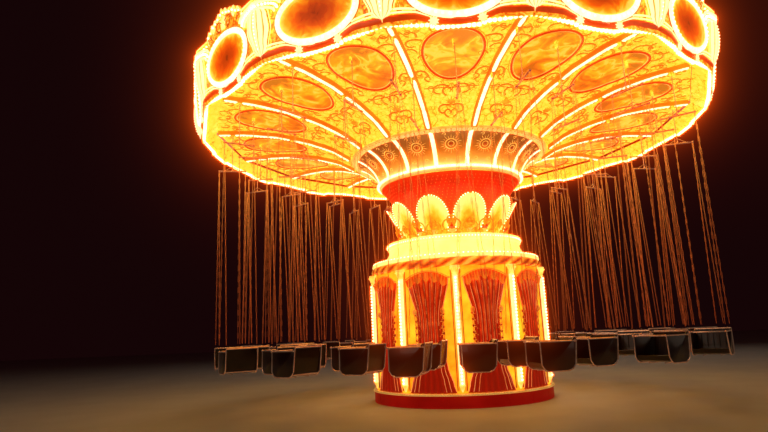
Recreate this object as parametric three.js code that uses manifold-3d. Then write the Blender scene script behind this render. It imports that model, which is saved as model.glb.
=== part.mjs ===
// A fairground swing carousel: a lit centre house, a crown of petals and a red
// bowl, and above them a turning canopy with three rings of hanging seats.
// Millimetres, +Z up, origin on the axis at ground level, front towards -Y.
import * as THREE from "three";
import { mergeVertices } from "three/addons/utils/BufferGeometryUtils.js";
import Module from "manifold-3d";

const wasm = await Module();
wasm.setup();

const degrees = THREE.MathUtils.degToRad;
const SEAT_GAP = 0.3; // between two pieces that rest on each other
const RING_SIDES = 32; // sides of the round rings

// Centre house, from the ground up
const PLINTH_RADIUS = 1905;
const PLINTH_HEIGHT = 262;
const PLINTH_EDGE = 42; // height of the gold edge
const HOUSE_SIDES = 10;
const HOUSE_RADIUS = 1840; // to the middle of a light column
const HOUSE_TOP = 2620;
const COLUMN_RADIUS = 52;
const COLUMN_FOOT = 330; // length of the pointed lower end
const FRIEZE_RADIUS = 1840;
const FRIEZE_TOP = 2800;
const CORNICE_RADIUS = 1825;
const CORNICE_BAND_RADIUS = 1470;
const CORNICE_COVE_TOP = 3190;
const CORNICE_TOP = 3305;

// Petal crown and bowl
const COLLAR_RADIUS = 1040;
const COLLAR_TOP = 3480;
const PETAL_COUNT = 10;
const PETAL_WIDTH = 700;
const PETAL_HEIGHT = 860;
const PETAL_THICK = 40;
const PETAL_LEAN = 24;
const PETAL_ROOT = 985; // radius at the collar
const BOWL_TOP = 4600;
const BOWL_RADIUS = 1550;
const BEARING_RADIUS = 600;
const BEARING_TOP = 4622;

// Canopy
const SECTORS = 16;
const SECTOR = 360 / SECTORS;
const CORNER = 1 / Math.cos(degrees(SECTOR / 2)); // from the middle of a side to its corner
const RIB_TURN = 14.25; // direction of the first rib from +X
const DRUM_FOOT_RADIUS = 1600;
const DRUM_FOOT_TOP = 4710;
const DRUM_RADIUS = 2190;
const DRUM_TOP = 5313;
const CEILING = [
  // underside of a panel, [distance from the axis, height]
  [2190, 5313.3],
  [2600, 5565],
  [3150, 5755],
  [3800, 5895],
  [4450, 5950],
  [5100, 5945],
];
const CEILING_RADIUS = 5100;
const CEILING_RIM_Z = 5945;
const CEILING_TOP = 6050;
const RIB_WIDTH = 120;
const RIB_DEPTH = 80;
const SOFFIT_FOOT = 5692;
const FASCIA_FOOT = 5700;
const FASCIA_FOOT_RADIUS = 5340;
const FASCIA_LEAN = 8;
const FASCIA_THICK = 60;
const FASCIA_HEIGHT = 1060; // along the slope, at its low places
const CREST_PEAK = 1390; // up the slope, over each mirror
const MIRROR_WIDTH = 1500;
const MIRROR_HEIGHT = 930;
const MIRROR_MIDDLE = 500; // up the slope
const MIRROR_RELIEF = 60; // how far the frame stands proud of the board
const SHIELD_WIDTH = 480;
const SHIELD_FOOT = 90;
const SHIELD_TIP = 930;
const SHIELD_RELIEF = 110;
const HOOD_REACH = 480; // arch over each shield, from the corner along the board
const HOOD_TOP = 1010;
const ROOF_RADIUS = 5240;
const ROOF_EAVE = 80;
const ROOF_TOP = 8300;
const ROOF_CAP_RADIUS = 420;
const FINIAL_TOP = 9200;

// Swings
const RINGS = [
  { name: "outer", radius: 4850, turn: 0, bar: 5030 },
  { name: "middle", radius: 4400, turn: SECTOR / 2, bar: 5070 },
  { name: "inner", radius: 3550, turn: 0, bar: 4900 },
];
const PIVOT_DROP = 55; // pivot below the face that carries it
const EYE_SIZE = 46;
const EYE_WIDTH = 24;
const LUG_THICK = 16;
const LUG_WIDTH = 60;
const LUG_REACH = 26; // lug below the pivot
const ROD = 20;
const BAR_LENGTH = 600;
const BAR_THICK = 36;
const CHAIN_RADIUS = 9;
const CHAIN_APART = 11; // of the two chains at one end of the bar, from its middle
const SEAT_WIDTH = 560;
const SEAT_DEPTH = 440;
const SEAT_THICK = 38; // pan, back and side panels
const SEAT_FOOT = 830; // underside of the pan above the ground
const BACK_HEIGHT = 420;
const BACK_RECLINE = 60; // how far the top of the back lies behind its foot
const FRONT_HEIGHT = 110; // side panel at the front edge
const ARM_Z = 1205;
const ARM_THICK = 26;
const ARM_REACH = 30; // arm bar ahead of the pan

function material(color, roughness, metalness = 0) {
  return new THREE.MeshStandardMaterial({ color, roughness, metalness });
}

const MATERIALS = {
  red: material(0x8c1410, 0.45),
  gold: material(0xe0a030, 0.35, 0.6),
  panel: material(0xf0a028, 0.5),
  rope: material(0x8a2414, 0.5),
  cream: material(0xfff0c0, 0.5),
  bowl: material(0xd02008, 0.4),
  ceiling: material(0xf6c040, 0.5),
  fascia: material(0xf0b848, 0.5),
  roof: material(0x9a2a1c, 0.7),
  seat: material(0x3a1410, 0.5),
};

// A closed geometry as a solid, with shared corners merged and slivers at poles dropped
function solid(geometry) {
  const bare = geometry.clone();
  bare.deleteAttribute("normal");
  bare.deleteAttribute("uv");
  const merged = mergeVertices(bare, 1e-2);
  const corners = merged.index.array;
  const triangles = [];
  for (let i = 0; i < corners.length; i += 3) {
    const [a, b, c] = corners.slice(i, i + 3);
    if (a !== b && b !== c && c !== a) triangles.push(a, b, c);
  }
  return new wasm.Manifold(
    new wasm.Mesh({
      numProp: 3,
      vertProperties: new Float32Array(merged.attributes.position.array),
      triVerts: new Uint32Array(triangles),
    }),
  );
}

function fuse(geometries) {
  return geometries.map(solid).reduce((whole, piece) => whole.add(piece));
}

function geometryOf(shape) {
  const mesh = shape.getMesh();
  const geometry = new THREE.BufferGeometry();
  geometry.setAttribute("position", new THREE.BufferAttribute(mesh.vertProperties, 3));
  geometry.setIndex(new THREE.BufferAttribute(mesh.triVerts, 1));
  geometry.computeVertexNormals();
  return geometry;
}

function node(name, shape, finish) {
  const mesh = new THREE.Mesh(geometryOf(shape), MATERIALS[finish]);
  mesh.name = name;
  return mesh;
}

// A ring or disc turned about the axis, from [radius, height] pairs; side 0 starts at the front
function turned(profile, sides = RING_SIDES, start = 0) {
  const points = profile.map(([r, z]) => new THREE.Vector2(r, z));
  return new THREE.LatheGeometry(points, sides, degrees(start)).rotateX(Math.PI / 2);
}

// A straight three-sided bar between two points
function chain(from, to) {
  const along = new THREE.Vector3(...to).sub(new THREE.Vector3(...from));
  const section = new THREE.Shape();
  for (let i = 0; i < 3; i += 1) {
    const angle = (i / 3) * 2 * Math.PI;
    const corner = [CHAIN_RADIUS * Math.cos(angle), CHAIN_RADIUS * Math.sin(angle)];
    if (i === 0) section.moveTo(...corner);
    else section.lineTo(...corner);
  }
  const options = { depth: along.length(), bevelEnabled: false };
  const upright = new THREE.Vector3(0, 0, 1);
  const turn = new THREE.Quaternion().setFromUnitVectors(upright, along.normalize());
  return new THREE.ExtrudeGeometry(section, options).applyQuaternion(turn).translate(...from);
}

// An outline in the upright plane, thickened outwards (-Y), leaned out and moved to its radius
function plate(shape, thick, lean, radius, z, curveSegments) {
  return new THREE.ExtrudeGeometry(shape, { depth: thick, bevelEnabled: false, curveSegments })
    .rotateX(Math.PI / 2 + degrees(lean))
    .translate(0, -radius, z);
}

function around(geometry, count, firstTurn) {
  const copies = [];
  for (let i = 0; i < count; i += 1) {
    copies.push(geometry.clone().rotateZ(degrees(firstTurn + (i * 360) / count)));
  }
  return copies;
}

function plinth() {
  const edge = PLINTH_HEIGHT - PLINTH_EDGE;
  return fuse([
    turned([
      [0, 0],
      [PLINTH_RADIUS - 30, 0],
      [PLINTH_RADIUS - 30, edge],
      [PLINTH_RADIUS, edge + 8],
      [PLINTH_RADIUS, PLINTH_HEIGHT],
      [0, PLINTH_HEIGHT],
    ]),
  ]);
}

// Ten flat walls with a light column on every corner, pointed at its lower end
function house() {
  const foot = PLINTH_HEIGHT + SEAT_GAP;
  const walls = turned(
    [
      [0, foot],
      [HOUSE_RADIUS, foot],
      [HOUSE_RADIUS, HOUSE_TOP],
      [0, HOUSE_TOP],
    ],
    HOUSE_SIDES,
  );
  const column = turned(
    [
      [0, foot + 60],
      [COLUMN_RADIUS, foot + COLUMN_FOOT],
      [COLUMN_RADIUS, HOUSE_TOP],
      [0, HOUSE_TOP],
    ],
    8,
    22.5,
  ).translate(0, -HOUSE_RADIUS, 0);
  return fuse([walls, ...around(column, HOUSE_SIDES, 0)]);
}

function frieze() {
  const foot = HOUSE_TOP + SEAT_GAP;
  const middle = (foot + FRIEZE_TOP) / 2;
  return fuse([
    turned([
      [0, foot],
      [FRIEZE_RADIUS - 45, foot],
      [FRIEZE_RADIUS, foot + 40],
      [FRIEZE_RADIUS + 10, middle],
      [FRIEZE_RADIUS, FRIEZE_TOP - 30],
      [FRIEZE_RADIUS - 35, FRIEZE_TOP],
      [0, FRIEZE_TOP],
    ]),
  ]);
}

// Wide lower ring, a hollow cove curving in, and an upright band on top
function cornice() {
  const foot = FRIEZE_TOP + SEAT_GAP;
  const lip = foot + 60;
  const inner = CORNICE_BAND_RADIUS - 35; // where the cove ends, under the band
  const cove = new THREE.EllipseCurve(
    CORNICE_RADIUS - 20,
    CORNICE_COVE_TOP,
    CORNICE_RADIUS - 20 - inner,
    CORNICE_COVE_TOP - lip,
    1.5 * Math.PI,
    Math.PI,
    true,
  );
  return fuse([
    turned([
      [0, foot],
      [CORNICE_RADIUS, foot],
      [CORNICE_RADIUS, lip],
      ...cove.getPoints(4).map((p) => [p.x, p.y]),
      [CORNICE_BAND_RADIUS, CORNICE_COVE_TOP + 15],
      [CORNICE_BAND_RADIUS, CORNICE_TOP],
      [0, CORNICE_TOP],
    ]),
  ]);
}

function petalOutline() {
  const half = PETAL_WIDTH / 2;
  const shape = new THREE.Shape();
  shape.moveTo(-half * 0.72, 0);
  shape.bezierCurveTo(-half * 1.05, PETAL_HEIGHT * 0.3, -half * 1.15, PETAL_HEIGHT, 0, PETAL_HEIGHT);
  shape.bezierCurveTo(half * 1.15, PETAL_HEIGHT, half * 1.05, PETAL_HEIGHT * 0.3, half * 0.72, 0);
  return shape;
}

// Ten upright petals that lean out from one collar
function petalCrown() {
  const foot = CORNICE_TOP + SEAT_GAP;
  const collar = turned([
    [0, foot],
    [COLLAR_RADIUS + 30, foot],
    [COLLAR_RADIUS, COLLAR_TOP],
    [0, COLLAR_TOP],
  ]);
  const petal = plate(petalOutline(), PETAL_THICK, PETAL_LEAN, PETAL_ROOT, foot + 60, 4);
  return fuse([collar, ...around(petal, PETAL_COUNT, 180 / PETAL_COUNT)]);
}

// Red funnel with the bearing boss that carries the canopy
function bowl() {
  const foot = COLLAR_TOP + SEAT_GAP;
  return fuse([
    turned([
      [0, foot],
      [700, foot],
      [780, foot + 170],
      [1000, foot + 450],
      [1300, foot + 810],
      [BOWL_RADIUS, BOWL_TOP],
      [BEARING_RADIUS, BOWL_TOP],
      [BEARING_RADIUS, BEARING_TOP],
      [0, BEARING_TOP],
    ]),
  ]);
}

// Light ring and the flaring drum with its bead ring
function drum() {
  const foot = BEARING_TOP + SEAT_GAP;
  return fuse([
    turned(
      [
        [0, foot],
        [DRUM_FOOT_RADIUS - 20, foot],
        [DRUM_FOOT_RADIUS + 25, foot + 25],
        [DRUM_FOOT_RADIUS + 25, foot + 70],
        [DRUM_FOOT_RADIUS, DRUM_FOOT_TOP],
        [1750, 5000],
        [2080, 5250],
        [DRUM_RADIUS, DRUM_TOP - 50],
        [DRUM_RADIUS, DRUM_TOP],
        [0, DRUM_TOP],
      ],
      2 * SECTORS,
      RIB_TURN + 90,
    ),
  ]);
}

// Height of the ceiling's underside in the middle of a panel
function ceilingHeight(radius) {
  const next = CEILING.findIndex(([r]) => r >= radius);
  const [r0, z0] = CEILING[next - 1];
  const [r1, z1] = CEILING[next];
  return z0 + ((z1 - z0) * (radius - r0)) / (r1 - r0);
}

// Height of the pivot under the beam, or under the middle of a panel, that carries it
function pivotHeight(ring) {
  const face =
    ring.turn === 0
      ? ceilingHeight(ring.radius / CORNER) - RIB_DEPTH
      : ceilingHeight(ring.radius) - RIB_DEPTH / 2;
  return face - PIVOT_DROP;
}

// Lug plate beside the pivot of one swing, sunk into the rib or the ceiling above it
function lug(ring) {
  const top = PIVOT_DROP + RIB_DEPTH + 20;
  const side = EYE_WIDTH / 2 + SEAT_GAP + LUG_THICK / 2;
  return new THREE.BoxGeometry(LUG_WIDTH, LUG_THICK, top + LUG_REACH)
    .translate(ring.radius, -side, (top - LUG_REACH) / 2 + pivotHeight(ring));
}

// Sixteen-sided plate, hollow like a shallow bell underneath, with a beam under every corner
function ceiling() {
  const plateSolid = turned(
    [
      [0, CEILING[0][1]],
      ...CEILING.map(([r, z]) => [r * CORNER, z]),
      [CEILING_RADIUS * CORNER, CEILING_TOP],
      [0, CEILING_TOP],
    ],
    SECTORS,
    RIB_TURN + 90,
  );
  const inner = DRUM_RADIUS + 15;
  const outer = CEILING_RADIUS - 40;
  const line = [inner, ...CEILING.slice(1, -1).map(([r]) => r), outer];
  const beamFace = (rise) =>
    line.map((r) => new THREE.Vector2(r * CORNER, ceilingHeight(r) + rise));
  const beamShape = new THREE.Shape([...beamFace(-RIB_DEPTH), ...beamFace(60).reverse()]);
  const beam = new THREE.ExtrudeGeometry(beamShape, { depth: RIB_WIDTH, bevelEnabled: false })
    .rotateX(Math.PI / 2)
    .translate(0, RIB_WIDTH / 2, 0);
  const pieces = [plateSolid, ...around(beam, SECTORS, RIB_TURN)];
  for (const ring of RINGS) {
    pieces.push(...around(lug(ring), SECTORS, RIB_TURN + ring.turn));
  }
  return fuse(pieces);
}

// Ring under the rim between the ceiling's edge and the fascia, which leans on its outer face
function soffit() {
  const inner = CEILING_RADIUS + SEAT_GAP;
  const outer = FASCIA_FOOT_RADIUS - SEAT_GAP;
  const top = CEILING_RIM_Z - 40;
  const section = [
    [inner, CEILING_RIM_Z - 60],
    [outer - 60, SOFFIT_FOOT],
    [outer, SOFFIT_FOOT],
    [outer, FASCIA_FOOT],
    [outer + (top - FASCIA_FOOT) * Math.tan(degrees(FASCIA_LEAN)), top],
    [inner, CEILING_TOP],
    [inner, CEILING_RIM_Z - 60],
  ];
  return fuse([
    turned(
      section.map(([r, z]) => [r * CORNER, z]),
      SECTORS,
      RIB_TURN + 90,
    ),
  ]);
}

function outlineOf(points) {
  return new THREE.Shape(points.map(([x, y]) => new THREE.Vector2(x, y)));
}

// An outline given by its right half, from the bottom up
function evenOutline(right) {
  const left = right.filter(([x]) => x > 0).map(([x, y]) => [-x, y]);
  return outlineOf([...right, ...left.reverse()]);
}

// The crest of one board: peak over the mirror, shoulders, and low corners at the shields
function crestOutline() {
  const rise = CREST_PEAK - FASCIA_HEIGHT;
  return evenOutline([
    [MIRROR_WIDTH * 0.46, FASCIA_HEIGHT - 40],
    [MIRROR_WIDTH * 0.4, FASCIA_HEIGHT + rise * 0.35],
    [MIRROR_WIDTH * 0.2, FASCIA_HEIGHT + rise * 0.75],
    [0, CREST_PEAK],
  ]);
}

function mirrorOutline() {
  const shape = new THREE.Shape();
  shape.absellipse(0, MIRROR_MIDDLE, MIRROR_WIDTH / 2, MIRROR_HEIGHT / 2, 0, 2 * Math.PI);
  return shape;
}

function shieldOutline() {
  const half = SHIELD_WIDTH / 2;
  const height = SHIELD_TIP - SHIELD_FOOT;
  return evenOutline([
    [0, SHIELD_FOOT],
    [half * 0.6, SHIELD_FOOT + height * 0.16],
    [half, SHIELD_FOOT + height * 0.5],
    [half * 0.9, SHIELD_FOOT + height * 0.8],
    [half * 0.5, SHIELD_TIP - 30],
    [0, SHIELD_TIP],
  ]);
}

// The two half arches on one board, each beside the corner that carries a shield
function hoodOutlines() {
  const topRadius = FASCIA_FOOT_RADIUS + HOOD_TOP * Math.sin(degrees(FASCIA_LEAN));
  const end = topRadius * Math.tan(degrees(SECTOR / 2));
  const right = [
    [end - HOOD_REACH, HOOD_TOP - 150],
    [end - SHIELD_WIDTH / 2, HOOD_TOP - 250],
    [end, HOOD_TOP - 250],
    [end, HOOD_TOP],
    [end - HOOD_REACH * 0.6, HOOD_TOP - 40],
  ];
  const left = right.map(([x, y]) => [-x, y]).reverse();
  return [outlineOf(right), outlineOf(left)];
}

// Sixteen boards that lean outwards, each with its crest, mirror and half arches, and a shield
// on every corner
function fascia() {
  const radius = FASCIA_FOOT_RADIUS;
  const z = FASCIA_FOOT;
  const run = FASCIA_HEIGHT * Math.sin(degrees(FASCIA_LEAN));
  const rise = FASCIA_HEIGHT * Math.cos(degrees(FASCIA_LEAN));
  const section = [
    [radius, z],
    [radius + FASCIA_THICK, z],
    [radius + FASCIA_THICK + run, z + rise],
    [radius + run, z + rise],
    [radius, z],
  ];
  const boards = turned(
    section.map(([r, height]) => [r * CORNER, height]),
    SECTORS,
    RIB_TURN + 90,
  );
  const inside = FASCIA_THICK / 2; // frames start in the middle of the board
  const behind = 8; // shields start near its back, as the board falls away from the corner
  const proud = inside + MIRROR_RELIEF;
  const onBoards = [
    plate(crestOutline(), FASCIA_THICK - 12, FASCIA_LEAN, radius + 6, z, 1),
    plate(mirrorOutline(), proud, FASCIA_LEAN, radius + inside, z, 7),
    ...hoodOutlines().map((hood) => plate(hood, proud, FASCIA_LEAN, radius + inside, z, 1)),
  ];
  const shieldThick = FASCIA_THICK - behind + SHIELD_RELIEF;
  const shieldRadius = (radius + behind) * CORNER;
  const shield = plate(shieldOutline(), shieldThick, FASCIA_LEAN, shieldRadius, z, 1);
  const middle = RIB_TURN + 90 + SECTOR / 2;
  return fuse([
    boards,
    ...onBoards.flatMap((piece) => around(piece, SECTORS, middle)),
    ...around(shield, SECTORS, RIB_TURN + 90),
  ]);
}

function roof() {
  const foot = CEILING_TOP + SEAT_GAP;
  return fuse([
    turned(
      [
        [0, foot],
        [ROOF_RADIUS - 120, foot],
        [ROOF_RADIUS, foot + ROOF_EAVE],
        [ROOF_CAP_RADIUS, ROOF_TOP - 60],
        [ROOF_CAP_RADIUS, ROOF_TOP],
        [0, ROOF_TOP],
      ],
      SECTORS,
      RIB_TURN + 90,
    ),
  ]);
}

function finial() {
  const foot = ROOF_TOP + SEAT_GAP;
  const ballRadius = 230;
  const ballMiddle = foot + 330;
  const ball = new THREE.EllipseCurve(0, ballMiddle, ballRadius, ballRadius, -1.2, 1.3);
  return fuse([
    turned(
      [
        [0, foot],
        [300, foot],
        [300, foot + 50],
        [120, foot + 90],
        ...ball.getPoints(6).map((p) => [p.x, p.y]),
        [45, ballMiddle + ballRadius + 60],
        [0, FINIAL_TOP],
      ],
      12,
    ),
  ]);
}

// Outline of the seat from the side, [forward, up] from the middle of the pan's underside: side
// panels that slope up from the front edge, and the back that leans over them
function seatSide() {
  const front = SEAT_DEPTH / 2;
  const rear = -SEAT_DEPTH / 2;
  return [
    [rear, 0],
    [front, 0],
    [front, FRONT_HEIGHT],
    [0, FRONT_HEIGHT + 60],
    [rear - BACK_RECLINE / 2 + SEAT_THICK * 2, BACK_HEIGHT],
    [rear - BACK_RECLINE, BACK_HEIGHT],
  ];
}

// The room between pan, back and side panels, open in front and above
function seatRoom() {
  const far = SEAT_DEPTH;
  const rear = SEAT_THICK - SEAT_DEPTH / 2;
  const high = BACK_HEIGHT + 50;
  return [
    [rear, SEAT_THICK],
    [far, SEAT_THICK],
    [far, high],
    [rear - (BACK_RECLINE * (high - SEAT_THICK)) / BACK_HEIGHT, high],
  ];
}

// A side outline drawn across the seat, the rider facing -Y
function acrossSeat(outline, width) {
  return new THREE.ExtrudeGeometry(outlineOf(outline), { depth: width, bevelEnabled: false })
    .translate(0, 0, -width / 2)
    .rotateX(Math.PI / 2)
    .rotateZ(-Math.PI / 2);
}

// Arm bar: a flat hoop from one side of the back round the front to the other
function armHoop() {
  const half = SEAT_WIDTH / 2;
  const front = -SEAT_DEPTH / 2 - ARM_REACH;
  const rear = SEAT_DEPTH / 2 + BACK_RECLINE - 8;
  const outline = [
    [half, rear],
    [half, front],
    [-half, front],
    [-half, rear],
    [ARM_THICK - half, rear],
    [ARM_THICK - half, front + ARM_THICK],
    [half - ARM_THICK, front + ARM_THICK],
    [half - ARM_THICK, rear],
  ];
  return new THREE.ExtrudeGeometry(outlineOf(outline), {
    depth: ARM_THICK,
    bevelEnabled: false,
  });
}

// One swing about its pivot: eye and rod, spreader bar along the radius, four chains from its
// ends, and the seat. The rider faces -Y here, clockwise round the axis.
function swing(ring) {
  const pivot = pivotHeight(ring);
  const barZ = ring.bar - pivot;
  const seatZ = SEAT_FOOT - pivot;
  const armZ = ARM_Z - pivot;
  const halfBar = BAR_LENGTH / 2;
  const bucket = solid(acrossSeat(seatSide(), SEAT_WIDTH - 4)).subtract(
    solid(acrossSeat(seatRoom(), SEAT_WIDTH - 2 * SEAT_THICK)),
  );
  const pieces = [
    new THREE.BoxGeometry(EYE_SIZE, EYE_WIDTH, EYE_SIZE),
    new THREE.BoxGeometry(ROD, ROD, -barZ).translate(0, 0, barZ / 2),
    new THREE.BoxGeometry(BAR_LENGTH, BAR_THICK, BAR_THICK).translate(0, 0, barZ),
    armHoop().translate(0, 0, armZ - ARM_THICK / 2),
  ];
  const frontY = ARM_THICK / 2 - SEAT_DEPTH / 2 - ARM_REACH;
  const rearY = SEAT_DEPTH / 2 + BACK_RECLINE / 2;
  for (const side of [-1, 1]) {
    const topX = side * (halfBar - 20);
    const footX = (side * (SEAT_WIDTH - ARM_THICK)) / 2;
    pieces.push(
      chain([topX, -CHAIN_APART, barZ], [footX, frontY, armZ]),
      chain([topX, CHAIN_APART, barZ], [footX, rearY, armZ]),
    );
  }
  return fuse(pieces).add(bucket.translate([0, 0, seatZ]));
}

const base = new THREE.Group();
base.add(
  node("plinth", plinth(), "red"),
  node("house_wall", house(), "panel"),
  node("rope_frieze", frieze(), "rope"),
  node("lit_cornice", cornice(), "cream"),
  node("petal_crown", petalCrown(), "cream"),
  node("red_bowl", bowl(), "bowl"),
);

const canopy = new THREE.Group();
canopy.add(
  node("centre_drum", drum(), "panel"),
  node("canopy_ceiling", ceiling(), "ceiling"),
  node("rim_soffit", soffit(), "rope"),
  node("fascia_boards", fascia(), "fascia"),
  node("canopy_roof", roof(), "roof"),
  node("roof_finial", finial(), "gold"),
);

for (const ring of RINGS) {
  const shape = swing(ring);
  for (let i = 0; i < SECTORS; i += 1) {
    const turn = degrees(RIB_TURN + ring.turn + i * SECTOR);
    const seat = node(`swing_${ring.name}_${String(i + 1).padStart(2, "0")}`, shape, "seat");
    seat.rotation.z = turn;
    seat.position.set(
      ring.radius * Math.cos(turn),
      ring.radius * Math.sin(turn),
      pivotHeight(ring),
    );
    canopy.add(seat);
  }
}

const carousel = new THREE.Group();
carousel.add(base, canopy);

export default carousel;
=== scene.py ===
# A fairground swing carousel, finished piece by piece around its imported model.
# Metres, +Z up, the axis of rotation through the origin, the front towards -Y.
from functools import partial
from math import ceil, cos, exp, hypot, pi, radians, sin, sqrt, tan, tau

import bmesh
import bpy
from mathutils import Matrix, Vector


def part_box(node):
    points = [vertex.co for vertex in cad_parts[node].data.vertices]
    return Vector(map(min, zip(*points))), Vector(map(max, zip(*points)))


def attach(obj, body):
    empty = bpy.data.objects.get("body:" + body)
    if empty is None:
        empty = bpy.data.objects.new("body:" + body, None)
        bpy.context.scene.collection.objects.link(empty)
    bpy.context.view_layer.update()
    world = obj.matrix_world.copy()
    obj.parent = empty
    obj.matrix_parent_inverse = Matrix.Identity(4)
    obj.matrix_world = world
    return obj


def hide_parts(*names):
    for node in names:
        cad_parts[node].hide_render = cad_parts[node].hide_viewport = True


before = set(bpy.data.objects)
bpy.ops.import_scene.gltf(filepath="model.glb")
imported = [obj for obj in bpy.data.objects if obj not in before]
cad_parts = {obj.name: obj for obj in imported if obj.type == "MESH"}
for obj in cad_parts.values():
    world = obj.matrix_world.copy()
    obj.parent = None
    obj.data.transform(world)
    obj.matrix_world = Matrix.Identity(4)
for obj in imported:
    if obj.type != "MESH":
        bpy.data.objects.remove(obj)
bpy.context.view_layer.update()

# Camera and studio
# The camera stands at head height before the ride and looks up, as in the photograph. A pale floor,
# a dark surround and large soft lights leave the glow of the bulbs to show.
EYE = Vector((0, -12.952, 1.400))
YAW, PITCH, ROLL = radians(-6.75), radians(11.49), radians(-2.47)
FOCAL_SHARE = 578 / 768  # focal length as a share of the image's width
SENSOR = 36
LIGHTS_AIM = Vector((0, 0, 3.5))
FLOOR_HALF = 60
ahead = Vector((sin(YAW) * cos(PITCH), cos(YAW) * cos(PITCH), sin(PITCH)))
level = Vector((cos(YAW), -sin(YAW), 0))
rightward = cos(ROLL) * level + sin(ROLL) * level.cross(ahead)


def placed(name, data):
    made = bpy.data.objects.new(name, data)
    bpy.context.scene.collection.objects.link(made)
    return made


camera = placed("camera", bpy.data.cameras.new("camera"))
camera.data.sensor_width, camera.data.lens = SENSOR, FOCAL_SHARE * SENSOR
turn = Matrix((rightward, rightward.cross(ahead), -ahead)).transposed().to_4x4()
camera.matrix_world = Matrix.Translation(EYE) @ turn
bpy.context.scene.camera = camera

for name, place, size, power, colour in (
    ("key_light", (-14, -17, 13), 9, 260, (1.0, 0.76, 0.56)),
    ("fill_light", (17, -9, 7), 9, 130, (1.0, 0.76, 0.56)),
    ("back_light", (3, 18, 14), 10, 380, (1.0, 0.78, 0.60)),
):
    light = bpy.data.lights.new(name, "AREA")
    light.size, light.energy, light.color = size, power, colour
    facing = (LIGHTS_AIM - Vector(place)).to_track_quat("-Z", "Y").to_matrix().to_4x4()
    placed(name, light).matrix_world = Matrix.Translation(place) @ facing

world = bpy.data.worlds.new("surround")
bpy.context.scene.world = world
world.use_nodes = True
world.node_tree.nodes["Background"].inputs["Color"].default_value = (0.007, 0.0014, 0.0018, 1)
bpy.context.scene.view_settings.view_transform = "Standard"


def node(paint, kind, **inputs):
    """A shader node of a kind, each input set to a value or linked to another node's output."""
    made = paint.node_tree.nodes.new("ShaderNode" + kind)
    for name, value in inputs.items():
        socket = made.inputs[name.replace("_", " ")]
        if isinstance(value, bpy.types.NodeSocket):
            paint.node_tree.links.new(value, socket)
        else:
            socket.default_value = value
    return made


def noise(paint, where, scale, detail, **more):
    return node(paint, "TexNoise", Vector=where, Scale=scale, Detail=detail, **more).outputs["Fac"]


def spread(paint, share, low, high, first=0.0, last=1.0):
    """A value that runs from low to high while the share runs from first to last."""
    made = node(paint, "MapRange", Value=share, From_Min=first, From_Max=last, To_Min=low, To_Max=high)
    return made.outputs["Result"]


def shader_of(paint):
    return paint.node_tree.nodes["Principled BSDF"]


def ramp(paint, share, *stops):
    """A colour that runs through (share, colour) stops."""
    made = node(paint, "ValToRGB", Fac=share)
    elements = made.color_ramp.elements
    while len(elements) < len(stops):
        elements.new(1)
    for element, (position, colour) in zip(elements, stops):
        element.position, element.color = position, (*colour, 1)
    return made.outputs["Color"]


def surface(name, roughness, metallic=0.0, coat=0.0, grain=0.1, grain_size=0.02, wear=0.1):
    """A material whose gloss and fine bump vary over it; its colour is linked afterwards."""
    paint = bpy.data.materials.new(name)
    paint.use_nodes = True
    where = node(paint, "TexCoord").outputs["Object"]
    fine = noise(paint, where, 1 / grain_size, 3.0)
    bump = node(paint, "Bump", Height=fine, Strength=grain, Distance=grain_size / 8)
    inputs = shader_of(paint).inputs
    paint.node_tree.links.new(bump.outputs["Normal"], inputs["Normal"])
    paint.node_tree.links.new(spread(paint, fine, roughness - wear, roughness + wear), inputs["Roughness"])
    inputs["Metallic"].default_value, inputs["Coat Weight"].default_value = metallic, coat
    return paint, where


def coloured(paint, share, glow, *stops):
    """Links a ramp's colour to the surface, which glows with it where bulbs flood it with light."""
    colour = ramp(paint, share, *stops)
    inputs = shader_of(paint).inputs
    paint.node_tree.links.new(colour, inputs["Base Color"])
    if glow:
        paint.node_tree.links.new(colour, inputs["Emission Color"])
        inputs["Emission Strength"].default_value = glow
    return paint


def mottled(name, light, dark, patch, roughness, glow=0.0, **more):
    """Paint or plating that drifts between two colours in patches of a size."""
    paint, where = surface(name, roughness, **more)
    return coloured(paint, noise(paint, where, 1 / patch, 5.0), glow, (0.32, dark), (0.68, light))


def piece(name, bm, *paints, crease=35):
    """The finished bmesh as a named object, smooth but for its creases."""
    for face in bm.faces:
        face.smooth = True
    mesh = bpy.data.meshes.new(name)
    bm.to_mesh(mesh)
    bm.free()
    mesh.set_sharp_from_angle(angle=radians(crease))
    for paint in paints:
        mesh.materials.append(paint)
    return placed(name, mesh)


paving = bmesh.new()
bmesh.ops.create_grid(paving, x_segments=8, y_segments=8, size=FLOOR_HALF)
floor_finish = mottled("pale_floor", (0.62, 0.60, 0.58), (0.55, 0.53, 0.51), 1.4, 0.6, grain_size=0.3)
piece("studio_floor", paving, floor_finish)

# Plinth
# A round step of dark red painted sheet steel on a frame, with a polished brass nosing along its
# top edge. Upright cover strips, screwed on, hide the joints of the skirt's sheets.
STEP_RADIUS, STEP_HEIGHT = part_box("plinth")[1].x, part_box("plinth")[1].z
NOSING = 0.042
SKIRT_RADIUS = STEP_RADIUS - 0.030
SHEET_FACE, SHEET_TOP = SKIRT_RADIUS - 0.004, STEP_HEIGHT - NOSING
SKIRT_SHEETS = 20
STRIP_WIDTH, STRIP_THICK, SCREW_HEAD = 0.036, 0.004, 0.007


def fit(name, bm, paint, body, slot, *nodes, crease=35):
    """A piece on its body, hiding the solids that it stands for; the slot is not used."""
    made = piece(name, bm, *(paint if isinstance(paint, tuple) else (paint,)), crease=crease)
    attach(made, body)
    if nodes:
        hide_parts(*nodes)


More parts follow.
